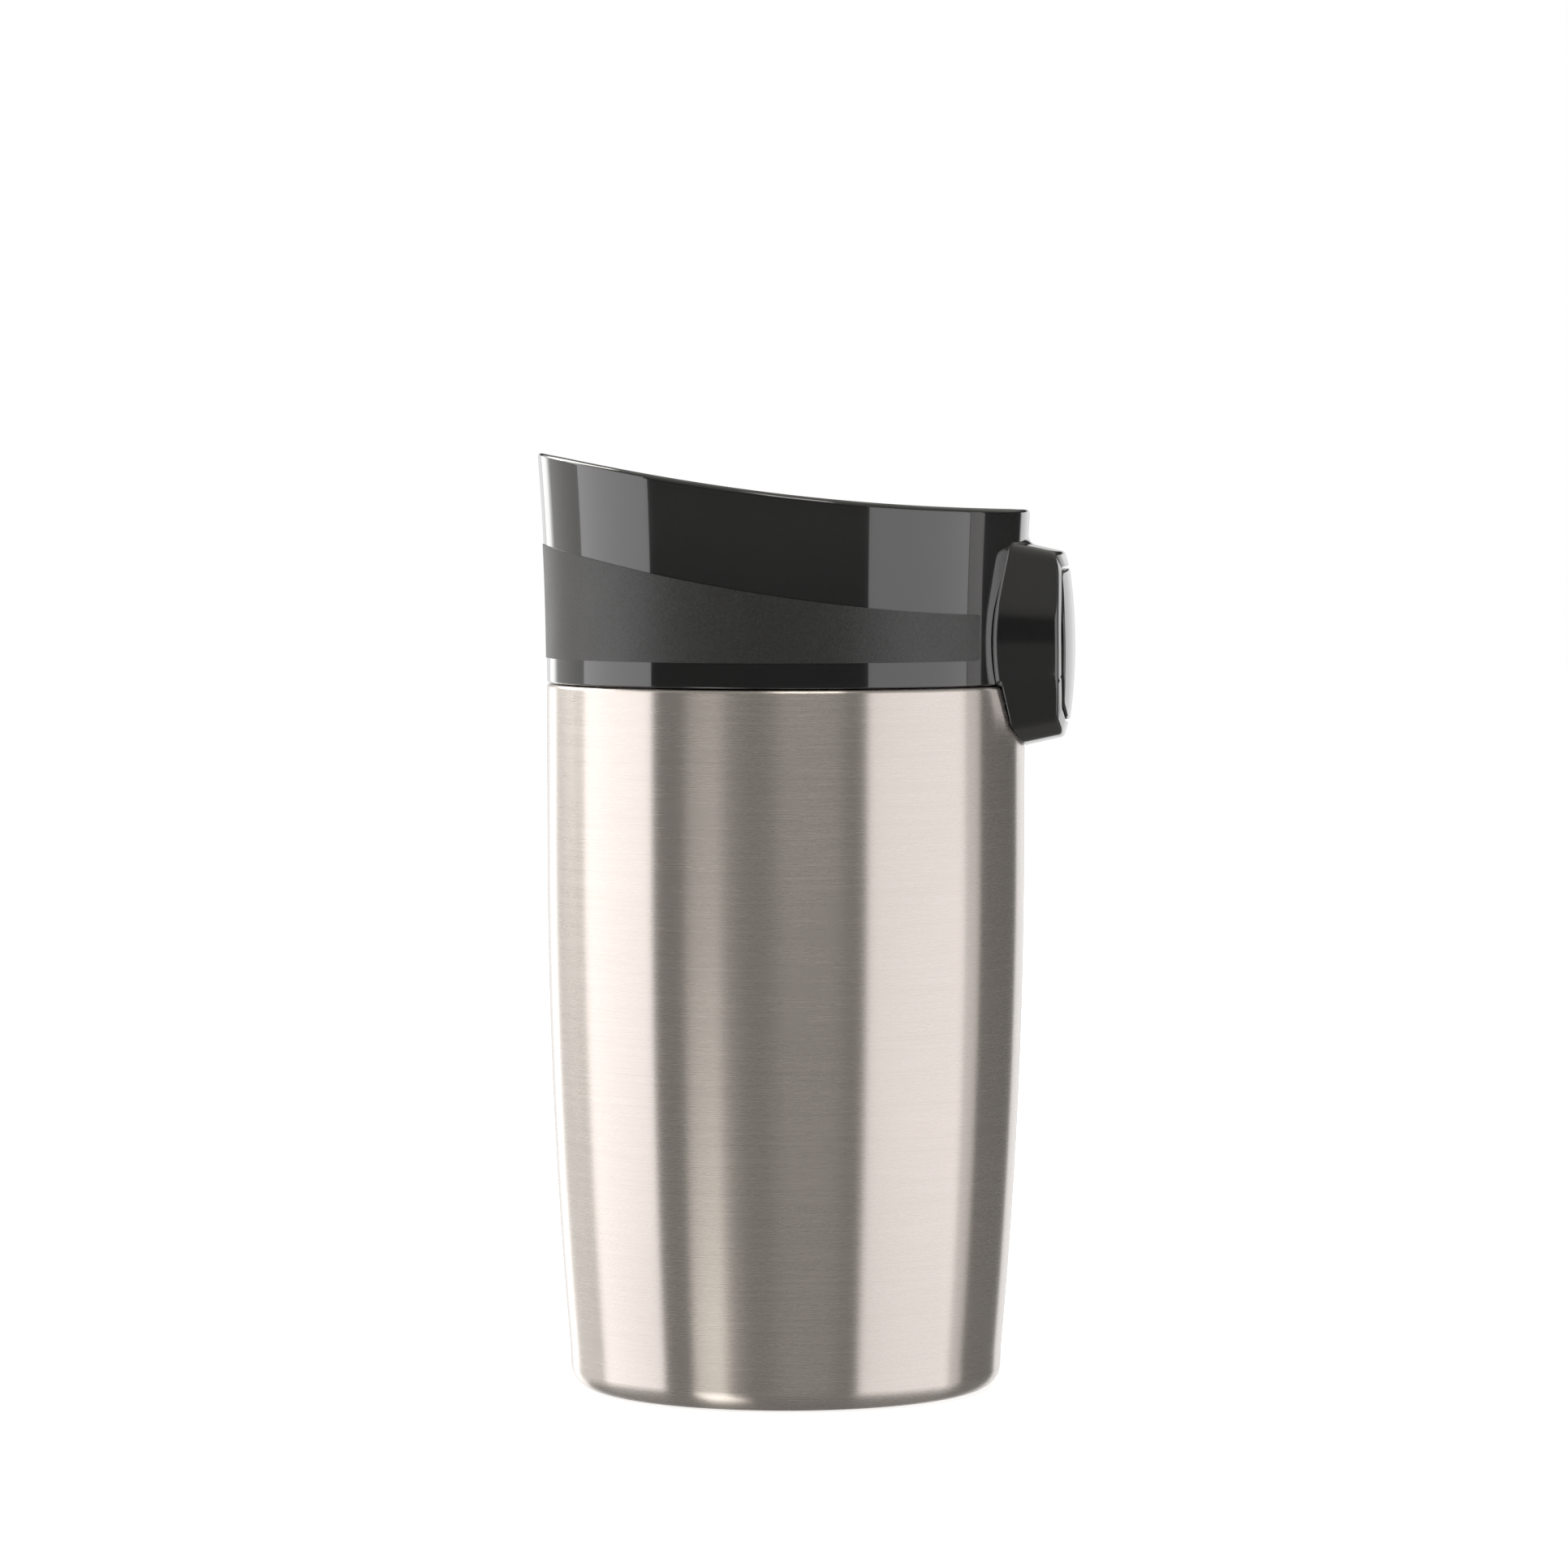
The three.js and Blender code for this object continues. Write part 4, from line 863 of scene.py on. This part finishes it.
def makeButton():
    bm = bmesh.new()
    shieldWire(bm, housing["rim"] + button["gap"])
    size = shieldScale(housingFront)
    bmesh.ops.scale(bm, vec=(1, size, size), verts=bm.verts[:])
    loop = bm.edges[:]
    for vert in bm.verts:
        vert.co.x = buttonFront(vert.co.y, vert.co.z)
    back, verts = growLoop(bm, loop)
    for vert in verts:
        vert.co.x = buttonHigh.x - button["back"]
    for share in button["backShares"]:
        back, verts = growLoop(bm, back)
        bmesh.ops.scale(bm, vec=(1, share, share), verts=verts)
    bmesh.ops.edgeloop_fill(bm, edges=back)
    front = loop
    for i in range(button["rings"]):
        front, verts = growLoop(bm, front)
        share = (button["rings"] - i - 0.6) / (button["rings"] - i + 0.4)
        bmesh.ops.scale(bm, vec=(1, share, share), verts=verts)
        for vert in verts:
            vert.co.x = buttonFront(vert.co.y, vert.co.z)
    bmesh.ops.edgeloop_fill(bm, edges=front)
    bmesh.ops.recalc_face_normals(bm, faces=bm.faces[:])
    bevelEdges(bm, [e for e in loop if e.is_valid], button["edge"], 5)
    bm.transform(Matrix.Translation((0, 0, middle)))
    place = Matrix.Translation(((buttonLow.x + boss["end"]) / 2, 0, rodHeight))
    place = place @ Matrix.Rotation(math.pi / 2, 4, "Y")
    addStem(bm, boss["radius"], boss["end"] - buttonLow.x, place, boss["edge"], boss["segments"])
    return finishPiece("pushButton", bm, buttonGloss, "push_button", slot="button_black")


makeHousing()
makeButton()


# Screw plug under the lid: bore, gasket groove, flange, collar and the lid's side of the thread
plug = {"radius": 33.4, "wall": 2, "bottom": 96, "lip": 32.4, "lipHeight": 1.1, "groove": 31.85,
        "grooveTop": 99.4, "tipBore": 30, "tipTop": 100.6, "flangeLow": 113.35, "flangeTop": 115.4,
        "collar": 36.24, "collarTop": 117.8, "collarWall": 1.8, "edge": 0.3, "flangeEdge": 0.4,
        "threadLow": 102.2, "steps": 160}


def makePlug():
    p = plug
    bore, inner, edge = p["radius"] - p["wall"], p["collar"] - p["collarWall"], p["edge"]
    lipTop = p["bottom"] + p["lipHeight"]
    outline = [(p["tipBore"], p["bottom"], edge), (p["lip"], p["bottom"], edge)]
    outline += [(p["lip"], lipTop, edge), (p["groove"], lipTop)]
    outline += [(p["groove"], p["grooveTop"]), (p["radius"], p["grooveTop"], edge)]
    outline += [(p["radius"], p["flangeLow"], p["flangeEdge"]), (p["collar"], p["flangeLow"], edge)]
    outline += [(p["collar"], p["collarTop"], edge), (inner, p["collarTop"], edge)]
    outline += [(inner, p["flangeTop"], edge), (bore, p["flangeTop"], edge)]
    outline += [(bore, p["tipTop"] + bore - p["tipBore"], edge), (p["tipBore"], p["tipTop"], edge)]
    bm = turnedMesh(outline, p["steps"], 3)
    addThread(bm, p["radius"], 1, p["threadLow"])
    return finishPiece("screwPlug", bm, innerPlastic, "screw_plug", slot="inner_black")


# Neck gasket: a ring with two lips
gasket = {"lip": 0.45, "lipShare": 0.6, "waist": 0.4, "levels": (0.32, 0.42, 0.58, 0.68),
          "inside": 0.1, "edge": 0.15, "shoulder": 0.2, "steps": 160}


def makeGasket():
    low, high = boxOf("neck_gasket")
    outer, inner = high.x, plug["groove"] + gasket["inside"]
    tall = high.z - low.z
    waist, lip = outer - gasket["waist"], gasket["lip"] * gasket["lipShare"]
    edge, shoulder = gasket["edge"], gasket["shoulder"]
    first, second, third, fourth = (low.z + tall * level for level in gasket["levels"])
    outline = [(inner, low.z, edge), (outer, low.z, lip), (outer, first, shoulder)]
    outline += [(waist, second), (waist, third)]
    outline += [(outer, fourth, shoulder), (outer, high.z, lip), (inner, high.z, edge)]
    bm = turnedMesh(outline, gasket["steps"], 3)
    return finishPiece("neckGasket", bm, silicone, "neck_gasket", slot="silicone")


# Seals on the valve arm, set out in the deck's own frame
seal = {"armTop": -2.7, "arm": 1.8, "slack": 0.08, "gap": 0.3, "spread": 1.9, "rise": 0.6,
        "edge": 0.35, "step": 0.01, "noseTop": 0.1, "round": 0.18, "sharp": 0.8, "segments": 48,
        "ventFlange": 3.0, "ventStem": 0.9, "ventHead": 1.6, "headTall": 1,
        "drinkStems": ((1.4, -4.9, -2.6), (2.2, -5.6, -4.6)), "stemEdge": 0.2, "stemSegments": 32}


# A solid of stacked rings, (radius, height) each, drawn out straight across the mug
def steppedSolid(bm, straight, along, rings):
    segments = seal["segments"]
    made = bmesh.ops.create_circle(bm, radius=rings[0][0], segments=segments,
                                   cap_ends=True)["verts"]
    bmesh.ops.transform(bm, matrix=Matrix.Rotation(math.pi / segments, 4, "Z"), verts=made)
    for vert in made:
        vert.co.z = rings[0][1]
    top = made[0].link_faces[0]
    for i, (radius, height) in enumerate(rings[1:]):
        grown = bmesh.ops.extrude_face_region(bm, geom=[top], use_keep_orig=i == 0)["geom"]
        top = [g for g in grown if isinstance(g, bmesh.types.BMFace)][0]
        for vert in top.verts:
            vert.co.xy *= radius / vert.co.xy.length
            vert.co.z = height
    for vert in bm.verts:
        vert.co.y += math.copysign(straight, vert.co.y)
        vert.co.x += along
    bmesh.ops.recalc_face_normals(bm, faces=bm.faces[:])
    sharp = [e for e in bm.edges if len(e.link_faces) == 2 and e.calc_face_angle(0) > seal["sharp"]]
    bevelEdges(bm, sharp, seal["round"], 3)


# The flange that closes on the deck from below, and the nose that stands in the opening
def sealFace(flange, nose):
    low, top = seal["armTop"] + seal["slack"], -seal["gap"]
    return [(flange, low), (flange, top), (nose, top + seal["step"]), (nose, seal["noseTop"]),
            (nose - seal["edge"], seal["rise"])]


def makeDrinkSeal():
    bm = bmesh.new()
    straight, half = slotShape["halfLength"] - slotShape["halfWidth"], slotShape["halfWidth"]
    steppedSolid(bm, straight, slotShape["centre"],
                 sealFace(half + seal["spread"], half - seal["gap"]))
    for radius, low, high in seal["drinkStems"]:
        place = Matrix.Translation((slotShape["centre"], 0, (low + high) / 2))
        addStem(bm, radius, high - low, place, seal["stemEdge"], seal["stemSegments"])
    bm.transform(deckPlace)
    return finishPiece("drinkSeal", bm, silicone, "drink_seal", slot="silicone")


def makeVentSeal():
    bm = bmesh.new()
    low, under = seal["armTop"] + seal["slack"], seal["armTop"] - seal["arm"] - seal["slack"]
    stem, head, step = seal["ventStem"], seal["ventHead"], seal["step"]
    rings = [(head, under - seal["headTall"]), (head, under), (stem, under + step)]
    rings += [(stem, low - step)]
    rings += sealFace(seal["ventFlange"], vent["radius"] - seal["gap"])
    steppedSolid(bm, 0, vent["along"], rings)
    bm.transform(deckPlace)
    return finishPiece("ventSeal", bm, silicone, "vent_seal", slot="silicone")


makePlug()
makeGasket()
makeDrinkSeal()
makeVentSeal()


# Springs: a round wire swept along a screw line
def sweepCoil(bm, centre, axis, turns, rise, steps):
    everything = bm.verts[:] + bm.edges[:] + bm.faces[:]
    count = round(turns * steps)
    bmesh.ops.spin(bm, geom=everything, cent=centre, axis=axis, angle=2 * math.pi * turns,
                   dvec=Vector(axis) * rise / count, steps=count)


returnCoil = {"wire": 0.35, "radius": 5.2, "turns": 3.25, "steps": 36, "segments": 12}


def makeReturnSpring():
    low, high = boxOf("return_spring")
    wire = returnCoil["wire"]
    bm = bmesh.new()
    stand = Matrix.Translation((low.x + wire, returnCoil["radius"], rodHeight))
    bmesh.ops.create_circle(bm, radius=wire, segments=returnCoil["segments"], cap_ends=True,
                            matrix=stand)
    sweepCoil(bm, (0, 0, rodHeight), (1, 0, 0), returnCoil["turns"], high.x - low.x - 2 * wire,
              returnCoil["steps"])
    bmesh.ops.recalc_face_normals(bm, faces=bm.faces[:])
    return finishPiece("returnSpring", bm, springSteel, "return_spring", slot="spring_steel")


makeReturnSpring()


# What stays hidden inside keeps its CAD shape and gets a proper finish
inside = {"valve_arm": innerPlastic, "push_rod": innerPlastic, "rod_guide": innerPlastic,
          "rod_seal": silicone, "arm_pin": springSteel, "valve_spring": springSteel,
          "shell_bottom": linerSteel, "getter": getterMetal, "vacuum_seal_bead": glass}
for node, material in inside.items():
    for slot in nodes[node].material_slots:
        slot.material = material
print("inner pieces finished")


# Studio: softboxes stand round the mug. Each has the span of angle it covers round the mug,
# measured from the camera's side with left negative, its span above the level, glow and tint.
softboxes = {
    "leftTall": (-113, -67, -24, 28, 1.5, (1, 0.98, 0.985)),
    "leftEdge": (-143, -113, -24, 28, 0.5, (1, 0.99, 0.97)),
    "leftUpper": (-151, -123, 14, 55, 5.2, (1, 0.98, 0.93)),
    "leftGap": (-123, -113, 14, 55, 2.8, (1, 0.97, 0.92)),
    "leftBehind": (-158, -143, -24, 40, 0.9, (1, 1, 0.98)),
    "rightTall": (39, 96.5, -32, 17, 1.2, (1, 0.98, 0.985)),
    "rightEdge": (96.5, 107, -32, 17, 0.65, (1, 0.98, 0.97)),
    "overhead": (-8, 37, 42, 70, 3.0, (1, 0.98, 0.91)),
    "under": (-55, -31, -62, -24, 2.2, (1, 0.98, 0.92)),
}
studio = {"distance": 2.0, "centre": 0.08, "floor": 0.72, "floorRadius": 4, "floorDrop": 0.0002,
          "warmth": (1, 0.98, 0.93),
          "sky": [(0.0, 0.1), (0.44, 0.14), (0.48, 0.03), (0.6, 0.03), (0.66, 0.22), (1.0, 0.45)],
          "beyond": [(0.83, 0), (0.86, 0.95), (0.975, 0.95), (1.0, 0.6)], "lowBand": (0.09, 0.14)}


# A panel facing the mug
def addSoftbox(name, start, end, low, high, glow, tint):
    across = math.radians((end - start) / 2)
    turn = math.radians((end + start) / 2)
    tilt = math.radians((high + low) / 2)
    upward = math.radians((high - low) / 2)
    light = bpy.data.lights.new(name, "AREA")
    light.shape = "RECTANGLE"
    light.size = 2 * studio["distance"] * math.tan(across) * math.cos(tilt)
    light.size_y = 2 * studio["distance"] * math.tan(upward)
    light.energy = glow * light.size * light.size_y * math.pi
    light.color = tint
    obj = bpy.data.objects.new(name, light)
    level = math.cos(tilt) * studio["distance"]
    towards = Vector((level * math.sin(turn), -level * math.cos(turn),
                      studio["distance"] * math.sin(tilt)))
    obj.location = towards + Vector((0, 0, studio["centre"]))
    obj.rotation_euler = towards.to_track_quat("Z", "Y").to_euler()
    obj.visible_camera = False
    bpy.context.scene.collection.objects.link(obj)


def makeFloor():
    bm = bmesh.new()
    bmesh.ops.create_circle(bm, radius=studio["floorRadius"], segments=96, cap_ends=True)
    mesh = bpy.data.meshes.new("studioFloor")
    bm.to_mesh(mesh)
    bm.free()
    material, tree, shader = newMaterial("paleFloor", (0.9, 0.9, 0.9), 0.0, 0.7)
    drift = noiseField(tree, (2, 2, 2), 2)
    color = blendColors(tree, drift, (0.88, 0.88, 0.88), (0.92, 0.92, 0.92))
    tree.links.new(color, shader.inputs["Base Color"])
    shader.inputs["Emission Color"].default_value = (1, 1, 1, 1)
    shader.inputs["Emission Strength"].default_value = studio["floor"]
    mesh.materials.append(material)
    obj = bpy.data.objects.new("studioFloor", mesh)
    obj.location.z = -studio["floorDrop"]
    obj.visible_glossy = False
    obj.visible_shadow = False
    bpy.context.scene.collection.objects.link(obj)


def rampOf(tree, value, stops):
    ramp = tree.nodes.new("ShaderNodeValToRGB")
    while len(ramp.color_ramp.elements) < len(stops):
        ramp.color_ramp.elements.new(0.5)
    for element, (position, level) in zip(ramp.color_ramp.elements, stops):
        element.position = position
        element.color = (*(level * part for part in studio["warmth"]), 1)
    tree.links.new(value, ramp.inputs["Fac"])
    return ramp.outputs["Color"]


def makeWorld():
    world = bpy.data.worlds.new("studio")
    bpy.context.scene.world = world
    world.use_nodes = True
    tree = world.node_tree
    tree.nodes.clear()
    output = tree.nodes.new("ShaderNodeOutputWorld")
    seen = tree.nodes.new("ShaderNodeBackground")
    seen.inputs["Color"].default_value = (1, 1, 1, 1)
    seen.inputs["Strength"].default_value = 1.0
    around = tree.nodes.new("ShaderNodeBackground")
    place = tree.nodes.new("ShaderNodeTexCoord")
    parts = tree.nodes.new("ShaderNodeSeparateXYZ")
    tree.links.new(place.outputs["Generated"], parts.inputs["Vector"])
    lift = spread(tree, parts.outputs["Z"], 0, 1, -1, 1)
    levels = rampOf(tree, lift, studio["sky"])
    beyond = rampOf(tree, parts.outputs["Y"], studio["beyond"])
    below = spread(tree, parts.outputs["Z"], 1, 0, *studio["lowBand"])
    product = tree.nodes.new("ShaderNodeMath")  # white only behind the mug and low down
    product.operation = "MULTIPLY"
    tree.links.new(beyond, product.inputs[0])
    tree.links.new(below, product.inputs[1])
    mixed = tree.nodes.new("ShaderNodeMix")
    mixed.data_type = "RGBA"
    mixed.inputs["B"].default_value = (1, 1, 1, 1)
    tree.links.new(product.outputs["Value"], mixed.inputs["Factor"])
    tree.links.new(levels, mixed.inputs["A"])
    tree.links.new(mixed.outputs["Result"], around.inputs["Color"])
    path = tree.nodes.new("ShaderNodeLightPath")
    choice = tree.nodes.new("ShaderNodeMixShader")
    tree.links.new(path.outputs["Is Camera Ray"], choice.inputs["Fac"])
    tree.links.new(around.outputs["Background"], choice.inputs[1])
    tree.links.new(seen.outputs["Background"], choice.inputs[2])
    tree.links.new(choice.outputs["Shader"], output.inputs["Surface"])


for name, values in softboxes.items():
    addSoftbox(name, *values)
makeFloor()
makeWorld()
bpy.context.scene.view_settings.view_transform = "Standard"
print("studio ready")
